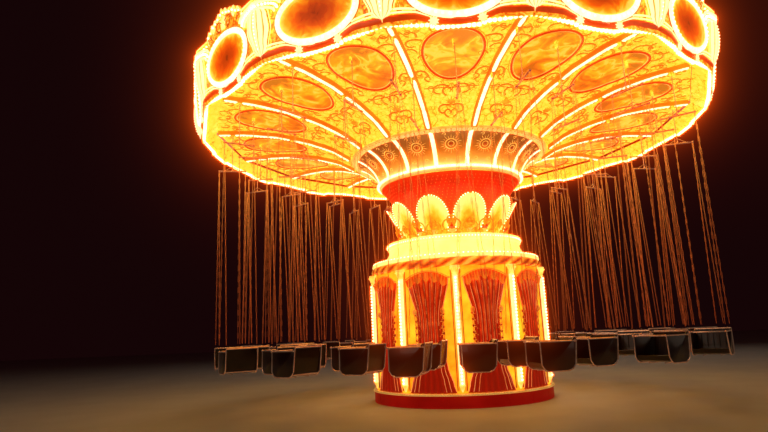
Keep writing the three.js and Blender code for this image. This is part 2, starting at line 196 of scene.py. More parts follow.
def turned(profile, steps=128):
    """A profile of [radius, height] pairs turned about the axis and closed."""
    bm = bmesh.new()
    corners = [bm.verts.new((radius, 0, z)) for radius, z in profile]
    for low, high in zip(corners, corners[1:]):
        bm.edges.new((low, high))
    geom = bm.verts[:] + bm.edges[:]
    bmesh.ops.spin(bm, geom=geom, cent=(0, 0, 0), axis=(0, 0, 1), angle=tau, steps=steps, use_merge=True)
    bmesh.ops.remove_doubles(bm, verts=bm.verts[:], dist=1e-5)
    bmesh.ops.recalc_face_normals(bm, faces=bm.faces[:])
    return bm


def around(bm, count, first=0.0):
    """Repeats what the bmesh holds about the axis, the first copy turned by an angle in degrees."""
    bm.transform(Matrix.Rotation(radians(first), 4, "Z"))
    bmesh.ops.spin(
        bm, geom=bm.verts[:] + bm.edges[:] + bm.faces[:], cent=(0, 0, 0), axis=(0, 0, 1),
        angle=tau * (count - 1) / count, steps=count - 1, use_duplicate=True,
    )
    return bm


def add(bm, part, place=Matrix()):
    """Puts a finished bmesh into another one, at a place."""
    part.transform(place)
    if place.determinant() < 0:
        bmesh.ops.reverse_faces(part, faces=part.faces[:])
    mesh = bpy.data.meshes.new("part")
    part.to_mesh(mesh)
    part.free()
    bm.from_mesh(mesh)
    bpy.data.meshes.remove(mesh)


def at(*spot):
    return Matrix.Translation(spot)


def scaled(x, y, z):
    return Matrix.Diagonal((x, y, z, 1))


def soften(bm, edge):
    bmesh.ops.bevel(bm, geom=bm.edges[:], offset=edge, affect="EDGES", segments=1, profile=0.5, material=-1)


def block(length, width, height, edge=0.0):
    """A box about the origin with softened edges."""
    bm = bmesh.new()
    bmesh.ops.create_cube(bm, size=1, matrix=scaled(length, width, height))
    if edge:
        soften(bm, edge)
    return bm


def ball(radius, detail=1):
    bm = bmesh.new()
    bmesh.ops.create_icosphere(bm, subdivisions=detail, radius=radius)
    return bm


def lamps(radius, spots):
    """Small balls at a list of spots: bulbs, and the heads of screws."""
    bm = bmesh.new()
    for spot in spots:
        add(bm, ball(radius), at(*spot))
    return bm


def even(first, last, count):
    """Values at even steps from first to last."""
    return [first + (last - first) * i / (count - 1) for i in range(count)]


def arc(x, z, across, up, first, last, count):
    """Points at even steps round an ellipse about (x, z), from a first to a last angle in degrees."""
    return [(x + across * cos(radians(a)), z + up * sin(radians(a))) for a in even(first, last, count)]


skirt = turned([
    (0, 0), (SKIRT_RADIUS, 0), (SKIRT_RADIUS, 0.02), (SHEET_FACE, 0.024), (SHEET_FACE, SHEET_TOP),
    (SHEET_FACE, STEP_HEIGHT - 0.004), (0, STEP_HEIGHT - 0.004),
])
strip_height = SHEET_TOP - 0.03
strips = block(STRIP_THICK * 2, STRIP_WIDTH, strip_height, 0.002)
strips.transform(at(SHEET_FACE, 0, 0.026 + strip_height / 2))
add(strips, lamps(SCREW_HEAD, [(SKIRT_RADIUS + STRIP_THICK - 0.006, 0, z) for z in (0.05, strip_height)]))
add(skirt, around(strips, SKIRT_SHEETS, 9))
skirt_paint = mottled("plinth_red_paint", (0.30, 0.002, 0.002), (0.22, 0.001, 0.001), 0.5, 0.45, 0.57)
shader_of(skirt_paint).inputs["Specular IOR Level"].default_value = 0.12
fit("plinth_skirt", skirt, skirt_paint, "base", "plinth_red", "plinth")

half_nosing = NOSING / 2
nosing_back = (STEP_RADIUS - 0.07, STEP_HEIGHT - 0.003)
nosing_round = arc(STEP_RADIUS - half_nosing, STEP_HEIGHT - half_nosing, half_nosing, half_nosing, 90, -90, 9)
brass = mottled("gilt_brass", (1.0, 0.62, 0.16), (0.80, 0.40, 0.07), 0.3, 0.28, 0.35, metallic=0.85, wear=0.08)
nosing = turned([nosing_back, *nosing_round, (SHEET_FACE, SHEET_TOP), nosing_back])
fit("plinth_nosing", nosing, brass, "base", "finial_gold")

# House walls
# Ten flat timber-framed panels painted golden yellow close the machinery in. A slim red moulding
# runs beside each light column, and the panels meet behind the columns.
HOUSE_SIDES = 10
CORNER_RADIUS = 1.840
WALL_FOOT, WALL_TOP = STEP_HEIGHT + 0.0003, 2.620
WALL_FACE = CORNER_RADIUS * cos(pi / HOUSE_SIDES)  # from the axis to the middle of a panel
MOULDING_SIDE = 0.478


def leaning(out, foot, lean=0.0):
    """The frame of a face that leans outwards: side, up its slope, and out from it."""
    s, c = sin(lean), cos(lean)
    return Matrix(((0, s, c, out), (1, 0, 0, 0), (0, c, -s, foot), (0, 0, 0, 1)))


def laid(bm, face, count, first, thickness=0.0):
    """Puts work laid out as side, rise and depth on every face round the axis."""
    bm.transform(face)
    if thickness:
        bmesh.ops.solidify(bm, geom=bm.faces[:], thickness=thickness)
    return around(bm, count, first)


on_panels = partial(laid, face=leaning(WALL_FACE, 0), count=HOUSE_SIDES, first=-90 + 180 / HOUSE_SIDES)

walls = turned([(0, WALL_FOOT), (CORNER_RADIUS, WALL_FOOT), (CORNER_RADIUS, WALL_TOP), (0, WALL_TOP)], HOUSE_SIDES)
walls.transform(Matrix.Rotation(-pi / 2, 4, "Z"))
wall_paint = mottled("golden_wall_paint", (1.0, 0.60, 0.020), (0.95, 0.28, 0.005), 0.35, 0.42, 0.85)
fit("house_panels", walls, wall_paint, "base", "house_gold", "house_wall", crease=20)

mouldings = bmesh.new()
for side in (-1, 1):
    for offset, width in ((0, 0.016), (0.026, 0.006)):
        upright = block(width, WALL_TOP - WALL_FOOT - 0.08, 0.014, 0.003)
        add(mouldings, upright, at(side * (MOULDING_SIDE + offset), (WALL_TOP + WALL_FOOT) / 2, 0.004))
deep_red = mottled("deep_red_paint", (0.20, 0.012, 0.005), (0.12, 0.006, 0.003), 0.2, 0.35, 0.15, coat=0.2)
fit("wall_mouldings", on_panels(mouldings), deep_red, "base", "rope_red")

# Wall draperies
# On every panel a moulded drapery in red hangs from an arched, pleated head, is gathered at a waist
# and spreads over the foot of the wall. It is cast in fibreglass, with cream piping along its folds
# and a ladder of gilt scrolls down either side.
DRAPE_FOOT, DRAPE_ARCH, ARCH_RISE, ARCH_HALF = 0.275, 2.370, 0.150, 0.455
DRAPE_FOLDS = 7
DRAPE_WIDTHS = (  # height and half width, from the foot up
    (0.275, 0.465), (0.45, 0.415), (0.70, 0.330), (0.98, 0.272), (1.30, 0.258), (1.58, 0.258),
    (1.74, 0.270), (1.88, 0.300), (2.02, 0.340), (2.16, 0.384), (2.28, 0.416), (2.36, 0.430), (2.56, 0.436),
)
DRAPE_WAIST = 1.780
CAST_THICK = 0.006
HEAD_LOBES, HEAD_DROP = 5, 0.190
RUNG = 0.122  # from scroll to scroll of a ladder


def between(table, x):
    """The value at x of a table of (x, value) rows, eased from row to row."""
    for (x0, y0), (x1, y1) in zip(table, table[1:]):
        if x <= x1:
            share = min(max((x - x0) / (x1 - x0), 0), 1)
            return y0 + (y1 - y0) * share * share * (3 - 2 * share)
    return table[-1][1]


def shaded(bm, rule):
    """Keeps a shade from 0 to 1 on every corner, by a rule on its place."""
    layer = bm.verts.layers.float.new("shade")
    for corner in bm.verts:
        corner[layer] = min(max(rule(*corner.co), 0), 1)


def sheet(columns, rows, place, thickness=0, rule=None):
    """A grid bent to the surface that place(across, up) gives, both running from 0 to 1."""
    bm = bmesh.new()
    bmesh.ops.create_grid(bm, x_segments=columns, y_segments=rows, size=0.5)
    for corner in bm.verts:
        corner.co = place(corner.co.x + 0.5, corner.co.y + 0.5)
    if rule:
        shaded(bm, rule)
    if thickness:
        bmesh.ops.solidify(bm, geom=bm.faces[:], thickness=thickness)
    return bm


def bar(path, width, face=(0, 0, 1), sides=6, closed=False, flat=1.0):
    """A bar bent along a path, round or flattened towards face; width is its radius, or one a point."""
    stops = [Vector(p) for p in path] + ([Vector(path[0])] if closed else [])
    last = len(stops) - 1
    widths = width if hasattr(width, "__len__") else [width] * (last + 1)
    bm = bmesh.new()
    bmesh.ops.create_cone(bm, segments=sides, radius1=1, radius2=1, depth=1, cap_ends=not closed)
    lengthwise = [e for e in bm.edges if abs(e.verts[0].co.z - e.verts[1].co.z) > 0.5]
    if last > 1:
        bmesh.ops.subdivide_edges(bm, edges=lengthwise, cuts=last - 1)
    frames = []
    for i in range(last + 1):
        before = stops[-2] if closed and i == 0 else stops[max(i - 1, 0)]
        after = stops[1] if closed and i == last else stops[min(i + 1, last)]
        along = (after - before).normalized()
        beside = along.cross(Vector(face)).normalized()
        frames.append((beside, along.cross(beside)))
    for corner in bm.verts:
        i = round((corner.co.z + 0.5) * last)
        beside, towards = frames[i]
        corner.co = stops[i] + widths[i] * (beside * corner.co.x + towards * corner.co.y * flat)
    if closed:
        bmesh.ops.remove_doubles(bm, verts=bm.verts[:], dist=1e-6)
    bmesh.ops.recalc_face_normals(bm, faces=bm.faces[:])
    return bm


def scroll(x, y, heading, length, curl, width, side=1, lift=0.008, steps=11, power=1.5, button=1.35):
    """A scroll that runs straight and then winds up ever tighter, ending in a button."""
    path, widths = [], []
    stride = length / (steps - 1)
    for share in even(0, 1, steps):
        path.append((x, side * y, -lift))
        widths.append(width * (1 - 0.45 * share))
        angle = radians(heading) + curl * share ** power
        x += stride * cos(angle)
        y += stride * sin(angle)
    bm = bar(path, widths, sides=4, flat=0.7)
    if button:
        add(bm, ball(width * button), at(*path[-1]) @ scaled(1, 1, 0.7))
    return bm


def kept_shade(paint):
    made = node(paint, "Attribute")
    made.attribute_name = "shade"
    return made.outputs["Fac"]


def reckon(paint, operation, first, second):
    """The sum, product or the like of two sockets."""
    made = node(paint, "Math")
    made.operation = operation
    for socket, value in zip(made.inputs, (first, second)):
        paint.node_tree.links.new(value, socket)
    return made.outputs[0]


def streaked(name, roughness, scale, detail, glow, *stops, **more):
    """Gloss paint that follows the kept shade, broken up by noise."""
    paint, where = surface(name, roughness, **more)
    share = reckon(paint, "MULTIPLY", kept_shade(paint), noise(paint, where, scale, detail))
    return coloured(paint, share, glow, *stops)


def drape_depth(side, z):
    """How far the drapery stands off the wall, side from -1 to 1 across it."""
    fold = 0.5 + 0.5 * cos(pi * DRAPE_FOLDS * side + 0.7 * sin(3 * z + 2 * side))
    return 0.006 + (0.012 + 0.024 * fold) * (1 - side ** 8) + 0.030 * cos(pi / 2 * side)


def drape_point(across, up):
    side = 2 * across - 1
    crown = DRAPE_ARCH + ARCH_RISE * (1 - side * side)
    z = DRAPE_FOOT + up * (crown - DRAPE_FOOT)
    return side * between(DRAPE_WIDTHS, z), z, drape_depth(side, z)


def drape_shade(x, z, out):
    """Folds catch light, less so low down, and the head of the drapery is warm."""
    fold = (out - 0.018 - 0.030 * cos(pi / 2 * x / between(DRAPE_WIDTHS, z))) / 0.024
    warm_head = min(max((z - 2.16) / 0.26, 0), 1)
    return fold * 0.8 * min(max((z - 0.3) / 1.1, 0.25), 1) + 0.35 * warm_head


drape_paint = streaked(
    "red_drapery_gloss", 0.34, 5.0, 4.0, 0.50, (0.04, (0.30, 0.004, 0.001)), (0.22, (0.55, 0.010, 0.002)),
    (0.40, (0.86, 0.060, 0.006)), (0.56, (1.0, 0.24, 0.030)), coat=0.12, grain_size=0.012,
)
drapes = sheet(56, 20, drape_point, rule=drape_shade)
fit("wall_drapes", on_panels(drapes, thickness=CAST_THICK), drape_paint, "base", "rope_red")


def head_point(across, up):
    side = 2 * across - 1
    crown = DRAPE_ARCH + 0.02 + ARCH_RISE * (1 - side * side)
    lobe = abs(sin(pi * HEAD_LOBES * across))
    pleat = 0.008 * cos(tau * 3 * HEAD_LOBES * across) * (0.4 + up)
    rise = crown - HEAD_DROP * (0.55 + 0.45 * lobe) * (1 - up)
    return side * (0.410 + 0.030 * up), rise, 0.062 + pleat + 0.018 * lobe * (1 - up)


# The proud parts of the pleats are painted lighter and their hollows darker: painted highlight and painted shade.
heads = sheet(60, 3, head_point, rule=lambda x, z, out: max((out - 0.048) / 0.030, 0.35))
head_paint = surface("orange_head_pleat_highlights", 0.34, coat=0.12, grain_size=0.012)[0]
coloured(
    head_paint, kept_shade(head_paint), 0.45, (0.35, (0.66, 0.030, 0.003)), (0.65, (0.95, 0.14, 0.008)),
    (0.95, (1.0, 0.26, 0.016)),
)
fit("drape_heads", on_panels(heads, thickness=CAST_THICK), head_paint, "base", "rope_red")

arch = []
for side in even(-1, 1, 17):
    arch.append((ARCH_HALF * side, DRAPE_ARCH + 0.034 + ARCH_RISE * (1 - side * side), 0.070))
trims = bar(arch, 0.011)
sideways = Matrix(((0, 1, 0, 0), (1, 0, 0, 0), (0, 0, 1, 0), (0, 0, 0, 1)))  # swaps side and up
for side in (-1, 1):
    add(trims, ball(0.028), at(side * ARCH_HALF, DRAPE_ARCH + 0.030, 0.066))
    for i in range(6):
        z = 1.050 + RUNG * i
        rung = scroll(z - 0.05, between(DRAPE_WIDTHS, z) - 0.008, 62, 0.190, -4.4, 0.012, side, -0.030, 10, 1.2)
        add(trims, rung, sideways)
    bow = at(side * (between(DRAPE_WIDTHS, DRAPE_WAIST) + 0.010), DRAPE_WAIST, 0.045)
    add(trims, ball(0.056, 2), bow @ scaled(0.8, 1.1, 0.6))
drape_gilding = mottled("drape_gilding", (1.0, 0.42, 0.05), (0.78, 0.16, 0.014), 0.12, 0.35, 0.40, metallic=0.4)
fit("drape_trims", on_panels(trims), drape_gilding, "base", "finial_gold")

scallops, pipings = bmesh.new(), bmesh.new()
for side in (-1, 1):
    for i in range(7):
        z = 0.990 + RUNG * i
        add(scallops, ball(0.034), at(side * (between(DRAPE_WIDTHS, z) + 0.022), z, 0.012) @ scaled(0.7, 1.0, 0.5))
    for share, low, high, width in (
        (0.985, 1.70, 2.38, 0.0085), (0.74, 1.50, 2.34, 0.006), (0.44, 1.10, 2.32, 0.0035),
        (0.15, 1.20, 2.32, 0.003), (0.985, 0.29, 0.96, 0.0075), (0.80, 0.29, 0.86, 0.006),
        (0.60, 0.29, 0.80, 0.005),
    ):
        share *= side
        fold = [(share * between(DRAPE_WIDTHS, z), z, drape_depth(share, z) + 0.003) for z in even(low, high, 8)]
        add(pipings, bar(fold, width, sides=4))
dark_red = mottled("dark_scallop_paint", (0.34, 0.026, 0.004), (0.18, 0.010, 0.002), 0.2, 0.35, 0.20, coat=0.2)
fit("drape_scallops", on_panels(scallops), dark_red, "base", "rope_red")
piping_paint = mottled("cream_piping", (1.0, 0.46, 0.15), (0.95, 0.24, 0.05), 0.2, 0.3, 0.50, coat=0.2)
fit("drape_pipings", on_panels(pipings), piping_paint, "base", "cream_lit")

# Light columns
# A cream column of translucent moulding covers every corner of the house, with a row of bulbs down
# its front, a flared gilt capital and a short pointed gilt foot that stops above the step.
COLUMN_RADIUS = 0.050
POINT_Z, POINT_LENGTH = STEP_HEIGHT + 0.020, 0.130
SHAFT_FOOT, SHAFT_TOP = POINT_Z + POINT_LENGTH - 0.01, 2.455
LEAVES = 9
BULB_PITCH, BULB = 0.0625, 0.025
by_column = partial(around, count=HOUSE_SIDES, first=-90)


def raised(foot, *outline):
    """An outline whose heights are given from a foot."""
    return [(radius, foot + z) for radius, z in outline]


shafts = turned([(0, SHAFT_FOOT), (COLUMN_RADIUS, SHAFT_FOOT), (COLUMN_RADIUS, SHAFT_TOP), (0, SHAFT_TOP)], 20)
shafts.transform(at(CORNER_RADIUS, 0, 0))
shaft_finish = mottled("lit_cream_moulding", (1.0, 0.86, 0.42), (1.0, 0.72, 0.24), 0.12, 0.35, 1.05)
fit("column_shafts", by_column(shafts), shaft_finish, "base", "cream_lit")

capitals = turned(raised(
    SHAFT_TOP, (0, -0.02), (0.054, -0.02), (0.064, -0.008), (0.054, 0.006), (0.056, 0.04), (0.066, 0.085),
    (0.090, 0.125), (0.096, 0.140), (0.096, WALL_TOP - SHAFT_TOP), (0, WALL_TOP - SHAFT_TOP),
), 24)
add(capitals, turned(raised(
    POINT_Z, (0, 0), (0.010, 0.004), (0.024, 0.035), (0.042, 0.080), (0.052, 0.106), (0.062, 0.114),
    (0.062, 0.126), (0.052, 0.134), (0, 0.134),
), 24))
leaf_line = raised(SHAFT_TOP, (0.056, 0.02), (0.070, 0.08), (0.102, 0.118), (0.112, 0.098))
for i in range(LEAVES):
    acanthus = bar([(x, 0, z) for x, z in leaf_line], (0.010, 0.013, 0.010, 0.004), face=(0, 1, 0), sides=5)
    add(capitals, acanthus, Matrix.Rotation(tau * i / LEAVES, 4, "Z"))
capitals.transform(at(CORNER_RADIUS, 0, 0))
lit_gilding = mottled("lit_gilding", (1.0, 0.76, 0.20), (1.0, 0.50, 0.05), 0.10, 0.34, 0.90, metallic=0.2)
fit("column_capitals", by_column(capitals), lit_gilding, "base", "finial_gold")


def bulb_glass(name, core, edge, glow):
    """Warm lit glass; some bulbs burn a little yellower than others."""
    paint, where = surface(name, 0.2, wear=0.05)
    return coloured(paint, noise(paint, where, 6.0, 2.0), glow, (0.35, edge), (0.65, core))


warm_bulb = bulb_glass("warm_bulb_glass", (1.0, 0.80, 0.44), (1.0, 0.66, 0.26), 3.4)
lowest = POINT_Z + POINT_LENGTH + 0.035
bulb_count = ceil((SHAFT_TOP - 0.04 - lowest) / BULB_PITCH)
bulb_radius = CORNER_RADIUS + COLUMN_RADIUS + 0.006
column_lights = lamps(BULB, [(bulb_radius, 0, lowest + i * BULB_PITCH) for i in range(bulb_count)])
fit("column_bulbs", by_column(column_lights), warm_bulb, "base", "cream_lit")

# Rope frieze
# A heavy rope moulding runs round over the columns. It is carved timber, painted dark red with gold
# laid along the strands; its hollows are darkened with painted shade and its crests lightened with a
# painted highlight.
FRIEZE_FOOT, FRIEZE_TOP = WALL_TOP + 0.0003, 2.800
ROPE_MIDDLE, ROPE_Z = 1.770, 2.711
ROPE_OUT, ROPE_UP = 0.078, 0.088
STRANDS = 38
STRAND_LEAN = 3.0  # turns the strands so that they rise along the rope


def rope_point(across, up):
    azimuth, section = tau * across, tau * up - pi
    swell = 1 + 0.16 * (abs(sin((STRANDS * azimuth - STRAND_LEAN * section) / 2)) ** 0.7 - 0.6)
    radius = ROPE_MIDDLE + ROPE_OUT * swell * cos(section)
    return radius * cos(azimuth), radius * sin(azimuth), ROPE_Z + ROPE_UP * swell * sin(section)


# How high a point stands on its strand: the crests are gilt and take a painted highlight, the hollows take painted
# shade.
def rope_gilt_and_highlight(x, y, z):
    return (hypot((hypot(x, y) - ROPE_MIDDLE) / ROPE_OUT, (z - ROPE_Z) / ROPE_UP) - 0.92) / 0.15


ropes = sheet(STRANDS * 9, 12, rope_point, rule=rope_gilt_and_highlight)
bmesh.ops.remove_doubles(ropes, verts=ropes.verts[:], dist=1e-5)
bmesh.ops.recalc_face_normals(ropes, faces=ropes.faces[:])
rope_paint = streaked(
    "gilded_rope_paint_and_highlight", 0.34, 5.0, 5.0, 0.55, (0.08, (0.26, 0.022, 0.004)), (0.26, (0.62, 0.090, 0.008)),
    (0.40, (1.0, 0.34, 0.020)), (0.54, (1.0, 0.58, 0.08)), coat=0.3, grain_size=0.015,
)
fit("rope_moulding", ropes, rope_paint, "base", "rope_red", "rope_frieze", crease=60)

core = turned([(0, FRIEZE_FOOT), (ROPE_MIDDLE, FRIEZE_FOOT), (ROPE_MIDDLE, FRIEZE_TOP), (0, FRIEZE_TOP)])
fit("frieze_core", core, deep_red, "base", "rope_red")

# Lit cornice
# A cream moulded cornice: a wide lower ring, a hollow cove that hides a row of bulbs at its foot,
# and an upright band with a small lip and a line of beads.
CORNICE_FOOT, CORNICE_TOP = FRIEZE_TOP + 0.0003, 3.305
RING_RADIUS, BAND_RADIUS = 1.825, 1.470
COVE_MIDDLE, COVE_TOP, COVE_FOOT = 1.805, 3.190, 2.868
COVE_BULBS, LIP_BULBS = 120, 140

cornice = raised(
    CORNICE_FOOT, (0, 0), (RING_RADIUS - 0.014, 0), (RING_RADIUS, 0.012), (RING_RADIUS + 0.004, 0.030),
    (RING_RADIUS, 0.050), (RING_RADIUS - 0.014, 0.060),
)
cornice += arc(COVE_MIDDLE, COVE_TOP, COVE_MIDDLE - BAND_RADIUS + 0.035, COVE_TOP - COVE_FOOT, 270, 180, 13)
cornice += [(BAND_RADIUS - 0.006, COVE_TOP + 0.008), (BAND_RADIUS, COVE_TOP + 0.018)] + raised(
    CORNICE_TOP, (BAND_RADIUS, -0.034), (BAND_RADIUS + 0.012, -0.026), (BAND_RADIUS + 0.016, -0.014),
    (BAND_RADIUS + 0.010, 0), (0, 0),
)
cream_paint = mottled("lit_cream_paint", (1.0, 0.90, 0.30), (1.0, 0.78, 0.18), 0.5, 0.46, 0.95)
fit("cornice_moulding", turned(cornice), cream_paint, "base", "cream_lit", "lit_cornice", crease=50)


def joined(parts, place=Matrix()):
    """All the parts in one bmesh, each moved to a place."""
    bm = bmesh.new()
    for part in parts:
        add(bm, part, place)
    return bm


def ring_of(part, place, count, first=0.0):
    """Copies of a part at a place, all round the axis."""
    return around(joined([part], place), count, first)


cove_lights = ring_of(ball(0.020), at(RING_RADIUS - 0.030, 0, CORNICE_FOOT + 0.070), COVE_BULBS)
add(cove_lights, ring_of(ball(0.014), at(BAND_RADIUS + 0.010, 0, CORNICE_TOP - 0.050), LIP_BULBS))
fit("cornice_bulbs", cove_lights, warm_bulb, "base", "cream_lit")

# Collar
# A low cream drum stands on the cornice. Between the feet of the petals stand cast and gilded
# ornaments: pairs of scrolls about a red glass gem, under a fan of leaves. Smaller ones without a
# gem lie on the petals.
COLLAR_FOOT, COLLAR_TOP = CORNICE_TOP + 0.0003, 3.480
COLLAR_RADIUS = 1.040
PETALS = 10
PETAL_LEAN = radians(24)
ORNAMENT_RADIUS, ORNAMENT_LIFT = 1.110, 0.018
collar_face = leaning(ORNAMENT_RADIUS, COLLAR_FOOT + 0.010, PETAL_LEAN) @ at(0, 0, ORNAMENT_LIFT)
on_collar = partial(laid, face=collar_face, count=PETALS)


def leaf(length, width, thick=0.35):
    """A pointed leaf along +X that starts at the origin."""
    bm = bmesh.new()
    bmesh.ops.create_uvsphere(bm, u_segments=5, v_segments=5, radius=0.5)
    for corner in bm.verts:
        share = 0.5 - corner.co.z
        inside = 0 < share < 1
        half = width / 2 * sin(pi * share ** 0.7) ** 0.9 if inside else 0
        about = corner.co.xy.normalized() if inside else Vector((0, 0))
        corner.co = (length * share, half * about.x, half * thick * about.y)
    bmesh.ops.recalc_face_normals(bm, faces=bm.faces[:])
    return bm


def fan(bm, x, y, heading, lengths, spacing, width, lift=0.008, place=Matrix()):
    """A fan of leaves round a heading, in degrees."""
    middle = (len(lengths) - 1) / 2
    for i, length in enumerate(lengths):
        angle = radians(heading + (i - middle) * spacing)
        add(bm, leaf(length, width), place @ at(x, y, -lift) @ Matrix.Rotation(angle, 4, "Z"))


collar = turned(raised(COLLAR_FOOT, (0, 0), (COLLAR_RADIUS + 0.045, 0), (COLLAR_RADIUS + 0.050, 0.016)) + [
    (COLLAR_RADIUS + 0.030, COLLAR_FOOT + 0.028), (COLLAR_RADIUS + 0.014, COLLAR_TOP - 0.020),
    (COLLAR_RADIUS + 0.024, COLLAR_TOP - 0.010), (COLLAR_RADIUS + 0.020, COLLAR_TOP), (0, COLLAR_TOP),
])
collar_paint = mottled("collar_cream_paint", (1.0, 0.62, 0.20), (1.0, 0.42, 0.08), 0.2, 0.4, 0.40)
fit("collar", collar, collar_paint, "base", "petal_cream")

ornaments, petal_lace = bmesh.new(), bmesh.new()
for lace, scale in ((ornaments, 1.0), (petal_lace, 0.84)):
    for side in (-1, 1):
        for up, beside, heading, length, curl, width in (
            (0.05, 0.030, 60, 0.60, -4.6, 0.023), (0.22, 0.034, 36, 0.46, -5.0, 0.019),
            (0.06, 0.160, 28, 0.36, 4.8, 0.018), (0.03, 0.100, 74, 0.24, -5.0, 0.015),
        ):
            add(lace, scroll(scale * up, scale * beside, heading, scale * length, curl, width, side), sideways)
        fan(lace, side * 0.105 * scale, 0.060, 90 - side * 34, (0.12, 0.16, 0.12), 30, 0.056)
    fan(lace, 0, 0.290 * scale, 90, (0.09, 0.13, 0.16, 0.13, 0.09), 28, 0.054)
on_collar(ornaments, first=-90)
petal_lace.transform(at(0, 0, 0.012))
add(ornaments, on_collar(petal_lace, first=-90 + 180 / PETALS))
lace_gold = mottled("lace_gilding", (0.95, 0.42, 0.020), (0.56, 0.15, 0.006), 0.05, 0.32, 0.45, metallic=0.3)
fit("collar_ornaments", ornaments, lace_gold, "base", "finial_gold")

gems = joined([ball(0.042, 2)], at(0, 0.205, 0) @ scaled(0.9, 1.4, 0.7))
red_glass = mottled(
    "red_gem_glass", (0.62, 0.012, 0.004), (0.30, 0.005, 0.002), 0.03, 0.12, 0.40, coat=1.0, wear=0.04,
)
fit("collar_gems", on_collar(gems, first=-90), red_glass, "base", "bowl_red")

# Petals
# Ten large leaves flare out of the collar in front of the bowl. Each is a fluted fibreglass
# moulding in cream, with painted shade in orange deep in its cupped heart, its notched edge beaded in
# gilt and set with small bulbs.
PETAL_ROOT, PETAL_FOOT = 0.985, COLLAR_FOOT + 0.060
PETAL_LENGTH, PETAL_HALF = 0.860, 0.345
WIDEST = 0.45  # share of a petal's length
PETAL_FLUTES = 7
NOTCHES = 9
EDGE_BULBS = 2 * NOTCHES + 15
by_petal = partial(around, count=PETALS, first=-90 + 180 / PETALS)


def petal_half(up):
    if up < WIDEST:
        return between(((0, 0.250), (WIDEST, PETAL_HALF)), up)
    return PETAL_HALF * sqrt(max(1 - ((up - WIDEST) / (1 - WIDEST)) ** 2.1, 0))


def petal_at(side, up):
    """A point of a petal, side from -1 to 1 across it and up from 0 to 1 along it."""
    length = PETAL_LENGTH * up
    cup = 0.055 * side * side + 0.011 * cos(PETAL_FLUTES * pi * side) * min(1, 3 * up)
    out = PETAL_ROOT + length * sin(PETAL_LEAN) + 0.060 * up * up + cup
    return Vector((out, side * petal_half(up), PETAL_FOOT + length * cos(PETAL_LEAN) - 0.010 * up * up))


def petal_point(across, up):
    side = 2 * across - 1
    up = 1 - (1 - up) ** 1.4
    notch = 1 - 0.060 * abs(cos(NOTCHES * pi * up)) ** 3 * side ** 6
    return petal_at(side * notch, min(up, 0.999))


def petal_cup_shade(x, y, z):
    """The orange painted shade in the hollow of the cup is strongest a fifth of the way up."""
    up = (z - PETAL_FOOT) / (PETAL_LENGTH * cos(PETAL_LEAN) - 0.01)
    return exp(-((y / PETAL_HALF / 0.52) ** 2) - ((up - 0.20) / 0.42) ** 2)


petals = sheet(30, 26, petal_point, 0.016, petal_cup_shade)
petal_paint = streaked(
    "petal_cream_gloss", 0.36, 9.0, 5.0, 0.75, (0.03, (1.0, 0.84, 0.26)), (0.12, (1.0, 0.68, 0.08)),
    (0.24, (1.0, 0.42, 0.016)), (0.44, (0.90, 0.20, 0.006)), coat=0.3,
)
fit("petal_leaves", by_petal(petals), petal_paint, "base", "petal_cream", "petal_crown", crease=60)

petal_edge = []
for share in even(-1, 1, 2 * EDGE_BULBS + 1):
    up = min(1 - abs(share) ** 1.5 * 0.97, 0.999)
    petal_edge.append(petal_at(-1 if share < 0 else 1, up) + Vector((0.010, 0, 0)))
petal_rims = bar(petal_edge, 0.011, face=(1, 0, 0), sides=4)
petal_lights = lamps(0.016, [spot + Vector((0.006, 0, 0.002)) for spot in petal_edge[1::2]])
fit("petal_edges", by_petal(petal_rims), lace_gold, "base", "finial_gold")
fit("petal_bulbs", by_petal(petal_lights), warm_bulb, "base", "cream_lit")

# Bowl
# A nearly straight funnel in bright red gloss rises behind the petals to the turning ring. Rows of
# pea-sized lamps dot its whole side, and a thin gilt bead finishes its top edge.
BOWL_FOOT, BOWL_TOP = COLLAR_TOP + 0.0003, 4.600
BOWL_CURVE = ((0.700, BOWL_FOOT), (0.860, 3.800), (1.200, 4.150), (1.550, 4.596))
BOSS_RADIUS, BOSS_TOP = 0.600, 4.622
DOT_ROWS, DOT_PITCH = 19, 0.098


def bezier(points, share):
    """The point at a share along a cubic curve with four points of [radius, height]."""
    rest = 1 - share
    weights = (rest ** 3, 3 * rest * rest * share, 3 * rest * share * share, share ** 3)
    return tuple(sum(w * p[axis] for w, p in zip(weights, points)) for axis in (0, 1))


def hoop(radius, z, width, steps=96, sides=5):
    """A closed ring of round bar about the axis."""
    round_line = [(radius * cos(tau * i / steps), radius * sin(tau * i / steps), z) for i in range(steps)]
    return bar(round_line, width, sides=sides, closed=True)


funnel = [(0, BOWL_FOOT), *(bezier(BOWL_CURVE, share) for share in even(0, 1, 15))]
funnel += [(BOSS_RADIUS, BOWL_TOP), (BOSS_RADIUS, BOSS_TOP), (0, BOSS_TOP)]
bowl_paint = mottled(
    "bright_red_gloss", (0.86, 0.010, 0.001), (0.60, 0.004, 0.001), 0.4, 0.34, 0.48, coat=0.05, wear=0.06,
)
fit("bowl_funnel", turned(funnel), bowl_paint, "base", "bowl_red", "red_bowl")

dots = bmesh.new()
for row, share in enumerate(even(0.12, 0.94, DOT_ROWS)):
    radius, height = bezier(BOWL_CURVE, share)
    count = round(tau * radius / DOT_PITCH)
    add(dots, ring_of(ball(0.0070), at(radius + 0.002, 0, height - 0.002), count, row % 2 * 180 / count))
pea_lamp = bulb_glass("pea_lamp_glass", (1.0, 0.30, 0.05), (0.9, 0.14, 0.02), 1.0)
fit("bowl_dots", dots, pea_lamp, "base", "cream_lit")
fit("bowl_edge", hoop(1.556, 4.594, 0.013, 128, 6), brass, "base", "finial_gold")

